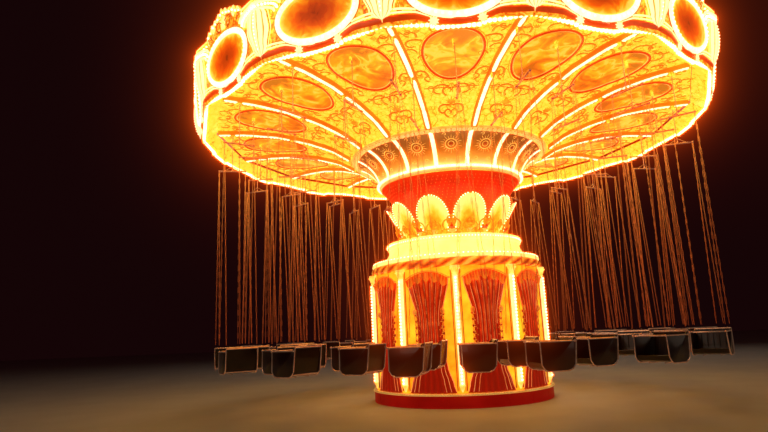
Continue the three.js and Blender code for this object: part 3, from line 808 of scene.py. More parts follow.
# Turning ring and drum
# Above the bowl everything turns. A ring of bulbs behind white glass hides the joint, and over it
# sixteen painted panels flare out to the ceiling, each with a rosette, between white light strips.
SECTORS = 16
SECTOR = 360 / SECTORS
FIRST_RIB = 14.25
DRUM_FOOT, DRUM_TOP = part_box("centre_drum")[0].z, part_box("centre_drum")[1].z
DRUM_CURVE = ((1.600, 4.706), (1.655, 4.930), (1.800, 5.130), (2.075, 5.250))
DRUM_LENGTH = 0.78  # along the curve
DRUM_RIM = 2.190
BEADS = 8 * SECTORS
by_rib = partial(around, count=SECTORS, first=FIRST_RIB)
by_sector = partial(around, count=SECTORS, first=FIRST_RIB - SECTOR / 2)

drum = [(0, DRUM_FOOT), (1.580, DRUM_FOOT), (1.600, DRUM_FOOT + 0.02), (1.600, 4.700)]
drum += [bezier(DRUM_CURVE, share) for share in even(0, 1, 15)]
drum += [(DRUM_RIM - 0.004, 5.262), (DRUM_RIM, 5.270), (DRUM_RIM, DRUM_TOP), (0, DRUM_TOP)]
# The panels are painted light amber low down and darken to olive brown towards the top, under the ceiling: painted
# shade.
drum_paint, where = surface("amber_paint_shaded_upwards", 0.36, coat=0.3, grain_size=0.02)
blotches = spread(drum_paint, noise(drum_paint, where, 8.0, 6.0), -0.05, 0.05)
drum_shade_height = reckon(drum_paint, "ADD", node(drum_paint, "SeparateXYZ", Vector=where).outputs["Z"], blotches)
coloured(
    drum_paint, spread(drum_paint, drum_shade_height, 0, 1, 4.70, 5.25), 0.40, (0.02, (1.0, 0.80, 0.30)),
    (0.22, (1.0, 0.56, 0.08)), (0.50, (0.72, 0.24, 0.018)), (0.78, (0.26, 0.12, 0.015)),
    (1.0, (0.17, 0.085, 0.014)),
)
fit("drum_panels", turned(drum), drum_paint, "canopy", "drum_amber", "centre_drum")


def on_drum(side, share, lift=0.0):
    """A point of the drum's face, side metres beside a sector's middle and a share up its curve."""
    radius, height = bezier(DRUM_CURVE, share)
    (r0, z0), (r1, z1) = bezier(DRUM_CURVE, max(share - 0.01, 0)), bezier(DRUM_CURVE, min(share + 0.01, 1))
    radius += lift * (z1 - z0) / hypot(r1 - r0, z1 - z0)
    height -= lift * (r1 - r0) / hypot(r1 - r0, z1 - z0)
    return Vector((radius * cos(side / radius), radius * sin(side / radius), height))


ROSETTE_SHARE, ROSETTE_RADIUS = 0.60, 0.118
DRUM_FACING = (0.75, 0, -0.66)


def drum_spot(side, share, reach, angle, lift):
    """A point at a reach and an angle from a spot on the drum."""
    return on_drum(side + reach * cos(angle), share + reach * sin(angle) / DRUM_LENGTH, lift)


def drum_bar(path, width, **more):
    return bar(path, width, face=DRUM_FACING, sides=4, **more)


rosettes = bmesh.new()
for radius, width in ((ROSETTE_RADIUS, 0.011), (ROSETTE_RADIUS * 0.52, 0.007)):
    circle = [drum_spot(0, ROSETTE_SHARE, radius, tau * i / 24, 0.006) for i in range(24)]
    add(rosettes, drum_bar(circle, width, closed=True))
for i in range(20):
    reaches = (0.142, 0.160, 0.225 if i % 2 else 0.190)
    ray = [drum_spot(0, ROSETTE_SHARE, reach, tau * i / 20, 0.003) for reach in reaches]
    add(rosettes, drum_bar(ray, (0.0065, 0.006, 0.002)))
for side in (-1, 1):
    for share, curl in ((0.16, 0.050), (0.90, 0.042)):
        winding = []
        for wound in even(0, 1, 12):
            x, y = (curl * (1 - 0.62 * wound) * turn_of(1.7 * pi * wound) for turn_of in (cos, sin))
            winding.append(on_drum(side * (0.135 + x), share + y / DRUM_LENGTH, 0.004))
        add(rosettes, drum_bar(winding, 0.006))
rosette_gold = mottled("rosette_gilding", (1.0, 0.66, 0.16), (0.95, 0.40, 0.05), 0.12, 0.35, 0.65, metallic=0.3)
fit("drum_rosettes", by_sector(rosettes), rosette_gold, "canopy", "finial_gold")

hub_turn = Vector(DRUM_FACING).to_track_quat("Z", "Y").to_matrix().to_4x4()
hubs = joined([ball(0.034, 2)], at(*on_drum(0, ROSETTE_SHARE, 0.004)) @ hub_turn @ scaled(1, 1, 0.5))
for side in (-1, 1):
    border = [on_drum(side * (0.335 + 0.045 * share), 0.04 + 0.94 * share, 0.003) for share in even(0, 1, 11)]
    add(hubs, drum_bar(border, 0.008))
ember_paint = mottled("ember_red_paint", (0.62, 0.10, 0.012), (0.36, 0.035, 0.006), 0.1, 0.35, 0.35)
fit("drum_hubs", by_sector(hubs), ember_paint, "canopy", "soffit_red")

STRIP_HALF, STRIP_FLAT = 0.042, 0.35
white_light = bulb_glass("white_light_strip", (1.0, 0.86, 0.56), (1.0, 0.76, 0.40), 1.7)
strip_line = [on_drum(0, share, 0.004) for share in even(0, 1, 13)]
drum_strips = bar(strip_line, STRIP_HALF, face=(0, 1, 0), sides=12)
for corner in drum_strips.verts:
    nearest = min(strip_line, key=lambda p: (p - corner.co).length_squared)
    corner.co.x = nearest.x + (corner.co.x - nearest.x) * STRIP_FLAT
    corner.co.z = nearest.z + (corner.co.z - nearest.z) * STRIP_FLAT
fit("drum_light_strips", by_rib(drum_strips), white_light, "canopy", "cream_lit")

ring_lights = ring_of(ball(0.030), at(1.632, 0, 4.668), 11 * SECTORS)
add(ring_lights, hoop(1.612, 4.672, 0.026, sides=8))
fit("drum_foot_lights", ring_lights, white_light, "canopy", "cream_lit")

beads = ring_of(ball(0.046, 2), at(2.132, 0, 5.252), BEADS, FIRST_RIB + 180 / BEADS)
bead_paint = mottled("lit_bead_paint", (1.0, 0.74, 0.26), (1.0, 0.56, 0.12), 0.3, 0.3, 0.60, coat=0.3)
fit("bead_ring", beads, bead_paint, "canopy", "cream_lit")
bead_edges = joined([hoop(2.072, 5.246, 0.010), hoop(2.192, 5.262, 0.012), hoop(2.206, 5.290, 0.016)])
fit("bead_lines", bead_edges, rosette_gold, "canopy", "finial_gold")

# Ceiling boards
# The ceiling is curved like a shallow bell: sixteen golden boards bent over steel arms. They keep
# their true shape from the model and are painted all over with fine filigree in olive and amber.


def edges(paint, where, size, randomness):
    """Distance to the lines between cells of a size."""
    cells = node(paint, "TexVoronoi", Vector=where, Scale=size, Randomness=randomness)
    cells.feature = "DISTANCE_TO_EDGE"
    return cells.outputs["Distance"]


filigree, where = surface("golden_filigree_paint", 0.42, coat=0.15, grain_size=0.03)
wander = node(filigree, "VectorMath")
wander.operation = "MULTIPLY_ADD"
waver = node(filigree, "TexNoise", Vector=where, Scale=3.5, Detail=2.0).outputs["Color"]
filigree.node_tree.links.new(waver, wander.inputs[0])
wander.inputs[1].default_value = (0.28, 0.28, 0.28)
filigree.node_tree.links.new(where, wander.inputs[2])
wandered = wander.outputs["Vector"]
line = reckon(filigree, "MINIMUM", edges(filigree, wandered, 5.5, 0.9), edges(filigree, wandered, 13.0, 1.0))
coloured(
    filigree, line, 0.92, (0.0, (0.42, 0.12, 0.004)), (0.020, (0.90, 0.40, 0.010)), (0.040, (1.0, 0.66, 0.045)),
    (0.30, (1.0, 0.78, 0.095)),
)


def repaint(name, paint):
    """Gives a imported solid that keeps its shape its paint."""
    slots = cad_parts[name].data.materials
    slots.clear()
    slots.append(paint)


repaint("canopy_ceiling", filigree)

# Ceiling relief
# Each board carries a framed oval painting in soft sunset colours, with cast scrolls and shell work
# in amber gilding around it and a palmette near the drum.
OVAL_MIDDLE, OVAL_LONG, OVAL_WIDE = 4.040, 0.740, 0.510
SCROLL_SHADOW = 1.55  # width of the dark painted shadow round a scroll, as a share of the scroll's
CROSS_BAR = 3.060  # from the axis
CEILING_CURVE = (  # distance from the axis at the middle of a board, and height
    (DRUM_RIM, DRUM_TOP), (2.600, 5.565), (3.150, 5.755), (3.800, 5.895), (4.450, 5.950), (5.100, 5.945),
)
SECTOR_SLOPE = tan(radians(SECTOR / 2))


def ceiling_z(radius):
    """Height of the boards' underside at a distance from the axis, in the middle of a sector."""
    for (r0, z0), (r1, z1) in zip(CEILING_CURVE, CEILING_CURVE[1:]):
        if radius <= r1:
            break
    return z0 + (z1 - z0) * (radius - r0) / (r1 - r0)


def disc(steps, rings, place):
    """A round grid bent to the surface that place(angle, share) gives, share from the middle out."""
    bm = sheet(steps, rings, lambda across, up: place(tau * across, up))
    bmesh.ops.remove_doubles(bm, verts=bm.verts[:], dist=1e-5)
    return bm


def on_ceiling(bm):
    """Bends flat work, laid out as distance from the axis, side and depth, onto every board."""
    for corner in bm.verts:
        corner.co.z += ceiling_z(corner.co.x)
    return by_sector(bm)


def egg_point(angle, scale, lift):
    """A point of the oval's outline at a scale, a little wider towards the rim."""
    wide = OVAL_WIDE * (1 + 0.10 * cos(angle))
    return OVAL_MIDDLE + scale * OVAL_LONG * cos(angle), scale * wide * sin(angle), -lift


def egg(scale, lift, width, sides=4, steps=36):
    """A bar bent along the oval at a scale."""
    return bar([egg_point(tau * i / steps, scale, lift) for i in range(steps)], width, sides=sides, closed=True)


def fans(bm, *rows, lift=0.008):
    for row in rows:
        fan(bm, *row, lift)


relief, relief_shadows = egg(1.080, 0.010, 0.008), bmesh.new()
for side in (-1, 1):
    for x, y, heading, length, curl, width in (
        (2.36, 0.05, 55, 0.32, -5.0, 0.011), (2.60, 0.03, 72, 0.46, 5.4, 0.015),
        (2.86, 0.10, 40, 0.40, -4.8, 0.014), (2.96, 0.34, -30, 0.30, 5.0, 0.011),
        (3.08, 0.05, 62, 0.52, 4.2, 0.015), (3.24, 0.40, 66, 0.30, -5.2, 0.012),
        (3.40, 0.42, 18, 0.50, 4.8, 0.015), (3.56, 0.54, 110, 0.26, 5.0, 0.010),
        (3.92, 0.58, -24, 0.32, -4.8, 0.011), (4.10, 0.60, 28, 0.38, 4.8, 0.012),
        (4.42, 0.50, 62, 0.56, 4.8, 0.016), (4.56, 0.60, 6, 0.44, 5.0, 0.014),
        (4.86, 0.08, 78, 0.48, -4.4, 0.014), (4.92, 0.12, 82, 0.62, 4.6, 0.014),
        (5.02, 0.66, 150, 0.36, 5.0, 0.012), (4.74, 0.86, -150, 0.36, 5.2, 0.011),
    ):
        add(relief, scroll(x, y, heading, length, curl, width, side))
        # A wider dark copy of the scroll lies flat on the board behind it: a painted shadow.
        add(relief_shadows, scroll(x, y, heading, length, curl, width * SCROLL_SHADOW, side, 0.001, button=0))
    fans(
        relief, (3.40, side * 0.50, side * 100, (0.07, 0.10, 0.12, 0.10, 0.07), 26, 0.036),
        (4.72, side * 0.56, side * 50, (0.08, 0.11, 0.13, 0.11, 0.08), 24, 0.040),
    )
fans(
    relief, (2.66, 0, 0, (0.10, 0.14, 0.17, 0.19, 0.17, 0.14, 0.10), 24, 0.044),
    (3.18, 0, 180, (0.07, 0.09, 0.07), 36, 0.034), (4.86, 0, 0, (0.08, 0.11, 0.14, 0.11, 0.08), 26, 0.044),
)
add(relief, ball(0.030, 2), at(2.64, 0, -0.010) @ scaled(1, 1, 0.6))
scroll_gold = mottled("amber_scroll_gilding", (1.0, 0.52, 0.03), (0.66, 0.24, 0.01), 0.16, 0.36, 0.5, metallic=0.2)
fit("ceiling_scrolls", on_ceiling(relief), scroll_gold, "canopy", "ceiling_gold")
# The dark olive of the painted shadows round the scrolls.
olive_shadow = mottled("olive_shadow_paint", (0.26, 0.075, 0.005), (0.14, 0.035, 0.003), 0.2, 0.4, 0.10)
fit("scroll_shadows", on_ceiling(relief_shadows), olive_shadow, "canopy", "drum_amber")

oval_frames = egg(1.0, 0.012, 0.021, 5)
cross_half = (CROSS_BAR - 0.02) * SECTOR_SLOPE - 0.10
add(oval_frames, block(0.012, 2 * cross_half, 0.008, 0.002), at(CROSS_BAR, 0, -0.003))
frame_paint = mottled("russet_frame_paint", (0.66, 0.045, 0.004), (0.36, 0.018, 0.003), 0.12, 0.34, 0.40, coat=0.2)
fit("oval_frames", on_ceiling(oval_frames), frame_paint, "canopy", "soffit_red")
fit("oval_lines", on_ceiling(egg(0.945, 0.010, 0.009)), rosette_gold, "canopy", "finial_gold")

paintings = disc(36, 5, lambda angle, share: egg_point(angle, 0.965 * share, 0.004))
sunset, where = surface("abstract_oval_paint", 0.34, coat=0.1, grain_size=0.04, wear=0.06)
split = node(sunset, "SeparateXYZ", Vector=where).outputs
flat_place = node(sunset, "CombineXYZ", X=split["X"], Y=split["Y"]).outputs["Vector"]
from_axis = node(sunset, "VectorMath", Vector=flat_place)
from_axis.operation = "LENGTH"
clouds = spread(sunset, noise(sunset, where, 2.3, 7.0, Distortion=1.4), -0.70, 0.70, 0.25, 0.75)
layers = spread(sunset, reckon(sunset, "ADD", from_axis.outputs["Value"], clouds), 0, 1, 3.25, 4.75)
coloured(
    sunset, layers, 0.72, (0.04, (0.52, 0.15, 0.006)), (0.20, (0.86, 0.24, 0.008)), (0.36, (1.0, 0.36, 0.008)),
    (0.50, (1.0, 0.52, 0.016)), (0.60, (1.0, 0.74, 0.10)), (0.68, (1.0, 0.46, 0.012)),
    (0.84, (0.78, 0.30, 0.012)), (0.98, (0.46, 0.20, 0.010)),
)
fit("oval_paintings", on_ceiling(paintings), sunset, "canopy", "drum_amber")

# Ceiling beams
# A curved beam boxed in orange-red boards lies under every joint of the ceiling. Below it runs a
# white light strip in three lengths, whose gaps leave room for the lugs that the swings hang from.
BEAM_HALF, BEAM_DEPTH = 0.062, 0.083
BEAM_INNER, BEAM_OUTER = 2.250, 5.160
BEAM_STEPS = 16
LUG_RADII, LUG_GAP = (3.550, 4.850), 0.050
STRIP_WIDE, LAMP_PITCH = 0.036, 0.075
APOTHEM = cos(radians(SECTOR / 2))  # the middle of a side, as a share of the distance to a corner


def rib_z(radius):
    """Height of the ceiling's underside over a joint of two boards."""
    return ceiling_z(radius * APOTHEM)


beam = block(1, 2 * BEAM_HALF, 1)
long_edges = [e for e in beam.edges if abs(e.verts[0].co.x - e.verts[1].co.x) > 0.5]
bmesh.ops.subdivide_edges(beam, edges=long_edges, cuts=BEAM_STEPS - 1, use_grid_fill=True)
for corner in beam.verts:
    lower = corner.co.z < 0
    corner.co.x = BEAM_INNER + (corner.co.x + 0.5) * (BEAM_OUTER - BEAM_INNER)
    corner.co.z = rib_z(corner.co.x) + (-BEAM_DEPTH if lower else 0.004)
bead_steps = even(BEAM_INNER + 0.02, BEAM_OUTER - 0.02, BEAM_STEPS + 1)
for side in (-1, 1):
    for rise, width in ((0.016, 0.009), (0.052, 0.006)):
        bead = [(r, side * (BEAM_HALF + 0.001), rib_z(r) - BEAM_DEPTH + rise) for r in bead_steps]
        add(beam, bar(bead, width, sides=5))
beam_paint = mottled("orange_red_beam_paint", (1.0, 0.200, 0.006), (0.78, 0.090, 0.004), 0.5, 0.40, 0.60)
fit("beam_boxes", by_rib(beam), beam_paint, "canopy", "soffit_red")

lights = bmesh.new()
starts = (BEAM_INNER + 0.03, *(radius + LUG_GAP for radius in LUG_RADII))
ends = (*(radius - LUG_GAP for radius in LUG_RADII), BEAM_OUTER - 0.01)
for start, end in zip(starts, ends):
    count = round((end - start) / LAMP_PITCH)
    stops = even(start, end, count + 1)
    widths = [0.7 * STRIP_WIDE] + [STRIP_WIDE] * (count - 1) + [0.7 * STRIP_WIDE]
    add(lights, bar([(r, 0, rib_z(r) - BEAM_DEPTH) for r in stops], widths, sides=8, flat=0.45))
    for r in stops[:-1]:
        r += (end - start) / count / 2
        add(lights, ball(0.019), at(r, 0, rib_z(r) - BEAM_DEPTH - 0.014))
fit("beam_lights", by_rib(lights), white_light, "canopy", "cream_lit")

# Rim and valance
# A golden rim runs from the ceiling's edge down to the boards. A gold valance closes its foot: its
# edge hangs lowest under each mirror, rises towards the ribs and carries one row of bulbs.
RIM_INNER, RIM_RADIUS = CEILING_CURVE[-1][0] + 0.002, 5.365
RIM_TOP, VALANCE_TOP = 5.885, 5.760
RIM_HALF = RIM_RADIUS * SECTOR_SLOPE
VALANCE_EDGE = ((0, 5.640), (0.31, 5.640), (0.42, 5.690), (1.07, 5.735))  # side and height
RIM_BULB_PITCH, RIM_BULB = 0.073, 0.038


def rim_point(across, up):
    radius = RIM_INNER + up * (RIM_RADIUS - 0.012 - RIM_INNER)
    side = (2 * across - 1) * radius * SECTOR_SLOPE
    return radius, side, RIM_TOP + up * (between(VALANCE_EDGE, abs(side)) + 0.012 - RIM_TOP)


def valance_point(across, up):
    side = (2 * across - 1) * RIM_HALF
    edge = between(VALANCE_EDGE, abs(side))
    return RIM_RADIUS, side, edge + up * (VALANCE_TOP - edge)


fit("rim_ring", by_sector(sheet(28, 2, rim_point, 0.010)), filigree, "canopy", "ceiling_gold", "rim_soffit")
valance_paint = mottled("valance_amber_paint", (1.0, 0.70, 0.1), (1.0, 0.46, 0.03), 0.15, 0.35, 0.8, metallic=0.1)
fit("rim_valance", by_sector(sheet(28, 2, valance_point, 0.014)), valance_paint, "canopy", "fascia_gold")

rim_count = round(2 * RIM_HALF / RIM_BULB_PITCH)
reach = RIM_HALF * (1 - 1 / rim_count)
rim_lights = lamps(RIM_BULB, [
    (RIM_RADIUS + 0.004, side, between(VALANCE_EDGE, abs(side)) - 0.012) for side in even(-reach, reach, rim_count)
])
fit("rim_bulbs", by_sector(rim_lights), warm_bulb, "canopy", "cream_lit")

# Fascia boards
# Sixteen moulded gold boards lean outwards round the rim, each with a leafy crest over its mirror. A
# dark red band follows the bulbs along their foot, with two cream ribbons waving above it.
BOARD_FOOT, BOARD_RADIUS = 5.700, 5.340
BOARD_LEAN, BOARD_THICK = radians(8), 0.060
CREST_FOOT = 1.05  # up the slope
CREST = ((0, 1.372), (0.30, 1.290), (0.60, 1.165), (0.70, 1.050), (1.20, 1.050))  # side and height
CREST_HALF, CREST_TIPS, TIP_RISE = 0.690, 5, 0.075
BAND_TOP = ((0, 0.035), (0.25, 0.050), (0.60, 0.160), (1, 0.145))  # share of the half width and height
BAND_WIDE = 0.095
RIBBON_START = 0.30  # share of the half width where a ribbon leaves the mirror
CREST_SHADOW = 2.1  # width of the dark painted shadow round a crest scroll, as a share of the scroll's
FIRST_BOARD = FIRST_RIB - SECTOR / 2
on_boards = partial(laid, face=leaning(BOARD_RADIUS, BOARD_FOOT, BOARD_LEAN), count=SECTORS, first=FIRST_BOARD)


def board_half(up):
    """Half width of a board, up metres along its slope."""
    return (BOARD_RADIUS + up * sin(BOARD_LEAN) + BOARD_THICK * cos(BOARD_LEAN)) * SECTOR_SLOPE


def crest_top(x):
    """Height of the crest's serrated edge, x metres beside the middle of a board."""
    tips = 1 - abs(sin(pi * CREST_TIPS * x / CREST_HALF)) if abs(x) < CREST_HALF else 1
    return between(CREST, abs(x)) + TIP_RISE * (tips - 0.5)


def board_point(across, up):
    side = 2 * across - 1
    rise = up * crest_top(side * board_half(CREST_FOOT))
    return side * board_half(rise), rise, BOARD_THICK + 0.014 * sin(pi * up) * (1 - side ** 4)


boards = sheet(80, 6, board_point, 0.05)
for face in boards.faces:
    face.material_index = int(face.calc_center_median().z < 0.03)  # the plain back
board_paint, where = surface("gold_board_paint", 0.38, coat=0.2, grain_size=0.03)
coloured(
    board_paint, noise(board_paint, where, 7.0, 7.0, Distortion=2.2), 0.78, (0.38, (0.30, 0.090, 0.004)),
    (0.46, (0.78, 0.24, 0.008)), (0.54, (1.0, 0.52, 0.024)), (0.70, (1.0, 0.74, 0.12)),
)
fit("fascia_panels", on_boards(boards), (board_paint, deep_red), "canopy", "fascia_gold", "fascia_boards")


def band_point(across, up):
    side = 2 * across - 1
    rise = between(BAND_TOP, abs(side)) - BAND_WIDE * (1 - up)
    return side * (board_half(0) - 0.004), rise, BOARD_THICK + 0.010 + 0.010 * sin(pi * up)


fit("fascia_bands", on_boards(sheet(32, 2, band_point, 0.012)), frame_paint, "canopy", "soffit_red")

ribbons = bmesh.new()
for side in (-1, 1):
    for offset, swell, width in ((0.018, 0.010, 0.013), (0.066, 0.016, 0.016)):
        wave = []
        for share in even(RIBBON_START, 0.99, 15):
            rise = between(BAND_TOP, share) + offset + swell * sin(3 * pi * share)
            wave.append((side * share * board_half(0), rise, BOARD_THICK + 0.022))
        add(ribbons, bar(wave, width, sides=4, flat=0.7))
ribbon_paint = mottled("cream_ribbon_paint", (1.0, 0.90, 0.50), (1.0, 0.78, 0.30), 0.2, 0.35, 1.2)
fit("fascia_ribbons", on_boards(ribbons), ribbon_paint, "canopy", "cream_lit")

crest_reach = 0.995 * board_half(CREST_FOOT)
crest_line = [(x, crest_top(x) - 0.008, BOARD_THICK + 0.006) for x in even(-crest_reach, crest_reach, 85)]
crests, crest_shadows = bar(crest_line, 0.018, sides=4), bmesh.new()
for side in (-1, 1):
    mirrored = scaled(side, 1, 1) @ at(0, 0, 2 * BOARD_THICK)
    for x, y, heading, length, curl, width in (
        (0.56, 0.18, 8, 0.36, 4.8, 0.014), (0.86, 0.20, 120, 0.34, -5.0, 0.014),
        (0.72, 0.24, 40, 0.26, -5.2, 0.011), (0.64, 0.90, 40, 0.40, -4.8, 0.016),
        (0.84, 0.76, 100, 0.34, 5.0, 0.014), (0.78, 0.32, 96, 0.20, -5.2, 0.010),
        (0.10, 1.01, 18, 0.52, 4.6, 0.018), (0.06, 1.16, 40, 0.42, -4.8, 0.016),
        (0.46, 1.00, 66, 0.36, -4.6, 0.016), (0.30, 1.06, 110, 0.30, -5.0, 0.013),
        (0.60, 0.98, 96, 0.26, 5.0, 0.013), (0.16, 1.22, 70, 0.24, 5.0, 0.012),
    ):
        add(crests, scroll(x, y, heading, length, curl, width, 1, BOARD_THICK), mirrored)
        # A wider dark copy of each scroll lies behind it on the board: a painted shadow.
        outline = scroll(x, y, heading, length, curl, width * CREST_SHADOW, 1, BOARD_THICK + 0.008, button=0)
        add(crest_shadows, outline, mirrored)
    fans(
        crests, (side * 0.36, 1.12, 90 - side * 26, (0.09, 0.13, 0.16, 0.13, 0.09), 26, 0.056),
        (side * 0.60, 1.00, 90 - side * 44, (0.08, 0.11, 0.08), 30, 0.046),
        (side * 0.70, 0.16, 90 - side * 10, (0.06, 0.09, 0.06), 34, 0.040), lift=-BOARD_THICK,
    )
fan(crests, 0, 1.12, 90, (0.12, 0.15, 0.18, 0.21, 0.24, 0.21, 0.18, 0.15, 0.12), 21, 0.060, -BOARD_THICK)
fan(crests, 0, 1.03, 90, (0.09, 0.12, 0.14, 0.12, 0.09), 32, 0.056, -BOARD_THICK - 0.02)
relief_gold = mottled("pale_relief_gilding", (1.0, 0.86, 0.36), (1.0, 0.62, 0.080), 0.18, 0.34, 1.1, metallic=0.1)
fit("fascia_relief", on_boards(crests), relief_gold, "canopy", "fascia_gold")
fit("fascia_shadows", on_boards(crest_shadows), olive_shadow, "canopy", "soffit_red")

# Red lozenges
# Under every mirror a long twisted lozenge in dark red is let into the foot of the board, between
# two cream knobs shaped like flames.
LOZENGE_Y, LOZENGE_HALF, LOZENGE_RISE = 0.012, 0.230, 0.036
KNOB_SIDE, KNOB_RADIUS = 0.345, 0.066
KNOB_LEAVES = 9
lozenges = ball(1, 3)
for corner in lozenges.verts:
    across, rise, out = corner.co
    pinch, twist = 1 - 0.40 * abs(across), 1 + 0.12 * cos(26 * across + 2.2 * rise)
    rise = LOZENGE_Y + rise * LOZENGE_RISE * pinch * twist
    corner.co = (across * LOZENGE_HALF, rise, BOARD_THICK + 0.020 + out * 0.026 * twist)
fit("fascia_lozenges", on_boards(lozenges), red_glass, "canopy", "bowl_red")

knobs = bmesh.new()
knob_leaves = [KNOB_RADIUS * 1.25] * KNOB_LEAVES
for side in (-1, 1):
    knob_place = at(side * KNOB_SIDE, LOZENGE_Y, BOARD_THICK + 0.020)
    add(knobs, ball(KNOB_RADIUS * 0.7), knob_place @ scaled(1, 1, 0.7))
    fan(knobs, 0, 0, 90, knob_leaves, 360 / KNOB_LEAVES, 0.042, -0.012, knob_place)
fit("fascia_knobs", on_boards(knobs), ribbon_paint, "canopy", "cream_lit")

# Oval mirrors
# A dished oval mirror fills the middle of each board in a frame of white glass over bulbs. It throws
# back the warm lights: yellow at its edge, then orange, streaked and dark red in its middle.
MIRROR_Y = 0.500
MIRROR_ACROSS, MIRROR_UP = 0.750, 0.465
TUBE = 0.056
GLASS_ACROSS, GLASS_UP = MIRROR_ACROSS - 1.6 * TUBE, MIRROR_UP - 1.6 * TUBE


def oval(grow, lift, steps=44):
    """Points round a mirror's outline, grown by some metres."""
    round_about = [tau * i / steps for i in range(steps)]
    across, up = MIRROR_ACROSS + grow, MIRROR_UP + grow
    return [(across * cos(a), MIRROR_Y + up * sin(a), BOARD_THICK + lift) for a in round_about]


tubes = bar(oval(-TUBE, 0.020), TUBE, sides=8, closed=True, flat=0.75)
fit("mirror_tubes", on_boards(tubes), white_light, "canopy", "cream_lit")
fit("mirror_bulbs", on_boards(lamps(0.024, oval(-TUBE, 0.056, 40))), warm_bulb, "canopy", "cream_lit")
rims = joined([bar(oval(grow, 0.022), 0.011, sides=4, closed=True) for grow in (0.010, -2 * TUBE - 0.004)])
fit("mirror_rims", on_boards(rims), frame_paint, "canopy", "soffit_red")


def glass_point(angle, share):
    x, y = GLASS_ACROSS * share * cos(angle), MIRROR_Y + GLASS_UP * share * sin(angle)
    return x, y, BOARD_THICK + 0.018 + 0.020 * share * share


glass = disc(36, 6, glass_point)
bmesh.ops.reverse_faces(glass, faces=glass.faces[:])
shaded(glass, lambda x, y, z: hypot(x / GLASS_ACROSS, (y - MIRROR_Y) / GLASS_UP))
mirror_paint, where = surface("warm_mirror_glass", 0.30, grain=0.02, wear=0.05)
ripples = spread(mirror_paint, noise(mirror_paint, where, 4.0, 7.0, Distortion=1.6), -0.14, 0.14, 0.3, 0.7)
coloured(
    mirror_paint, reckon(mirror_paint, "ADD", kept_shade(mirror_paint), ripples), 0.62,
    (0.04, (0.12, 0.010, 0.002)), (0.10, (0.42, 0.032, 0.002)), (0.34, (0.56, 0.050, 0.002)),
    (0.54, (0.86, 0.110, 0.002)), (0.70, (1.0, 0.26, 0.004)), (0.84, (1.0, 0.50, 0.012)),
    (0.96, (1.0, 0.86, 0.12)),
)
shader_of(mirror_paint).inputs["Specular IOR Level"].default_value = 0.15
fit("mirror_glass", on_boards(glass), mirror_paint, "canopy", "fascia_gold")

# Shields
# A fluted shield, cast in cream like a tulip, covers every joint between two boards, edged in dark
# red and gilt. A hood of two white arches with bulbs between them spans the joint behind its tip.
SHIELD_FOOT, SHIELD_TIP = 0.090, 0.930
SHIELD_HALF, SHIELD_FLUTES = 0.240, 4
SHIELD_WIDTHS = (
    (0, 0.012), (0.06, 0.090), (0.16, 0.146), (0.50, SHIELD_HALF), (0.80, 0.216), (0.95, 0.120), (1, 0.012),
)
HOOD_TOP, HOOD_REACH = 1.010, 0.480
CREST_BULBS = 20
corner_face = leaning((BOARD_RADIUS + BOARD_THICK / 2) / APOTHEM, BOARD_FOOT, BOARD_LEAN)
on_corners = partial(laid, face=corner_face, count=SECTORS, first=FIRST_RIB)


def groove(side):
    return abs(cos(SHIELD_FLUTES * pi / 2 * (side + 1))) ** 0.6


def shield_z(up):
    return SHIELD_FOOT + up * (SHIELD_TIP - SHIELD_FOOT)


def shield_at(side, up):
    """A point of a shield, side from -1 to 1 and up from 0 to 1."""
    bulge = sqrt(max(1 - side * side, 0)) * sin(pi * min(max(up, 0.04), 0.96)) ** 0.5
    out = 0.024 + 0.084 * bulge + 0.026 * groove(side) * (0.3 + 0.7 * sin(pi * up))
    return side * between(SHIELD_WIDTHS, up), shield_z(up), out


def shield_shade(x, y, z):
    up = (y - SHIELD_FOOT) / (SHIELD_TIP - SHIELD_FOOT)
    return groove(x / between(SHIELD_WIDTHS, min(max(up, 0), 1)))


shields = sheet(32, 14, lambda across, up: shield_at(2 * across - 1, up), 0.012)
shaded(shields, shield_shade)
# The hollows of the flutes are painted darker, a painted shade, broken up unevenly by noise.
shield_paint, where = surface("cream_shield_gloss", 0.34, coat=0.3, grain_size=0.02)
uneven_shade = spread(shield_paint, noise(shield_paint, where, 6.0, 4.0), -0.2, 0.2)
coloured(
    shield_paint, reckon(shield_paint, "ADD", kept_shade(shield_paint), uneven_shade), 1.0, (0.16, (0.40, 0.20, 0.012)),
    (0.36, (1.0, 0.66, 0.12)), (0.60, (1.0, 0.92, 0.50)),
)
fit("shield_shells", on_corners(shields), shield_paint, "canopy", "petal_cream")


def shield_rail(side, offset, out, width):
    """A bar down one edge of a shield, offset beyond it."""
    rail = []
    for up in even(0.02, 0.99, 15):
        rail.append((side * (between(SHIELD_WIDTHS, up) + offset), shield_z(up) + offset / 2, out))
    return bar(rail, width, sides=4)


shield_trim = joined([shield_rail(side, 0.034, 0.020, 0.013) for side in (-1, 1)])
fan(shield_trim, 0, SHIELD_FOOT + 0.03, -90, (0.05, 0.07, 0.05), 40, 0.044, -0.03)
fan(shield_trim, 0, SHIELD_TIP - 0.02, 90, (0.09, 0.12, 0.14, 0.12, 0.09), 28, 0.054, -0.05)
fit("shield_edges", on_corners(shield_trim), relief_gold, "canopy", "finial_gold")
shield_lines = joined([shield_rail(side, 0.010, 0.022, 0.009) for side in (-1, 1)])
fit("shield_lines", on_corners(shield_lines), frame_paint, "canopy", "soffit_red")


def hood_arc(side, shrink, steps=12):
    """Half an arch on a board, from its end towards the mirror."""
    points = []
    for angle in even(0, pi / 2, steps + 1):
        across = board_half(HOOD_TOP) - 0.004 - (HOOD_REACH - shrink) * sin(angle)
        points.append((side * across, HOOD_TOP - 0.030 - shrink - 0.130 * (1 - cos(angle)), BOARD_THICK + 0.040))
    return points


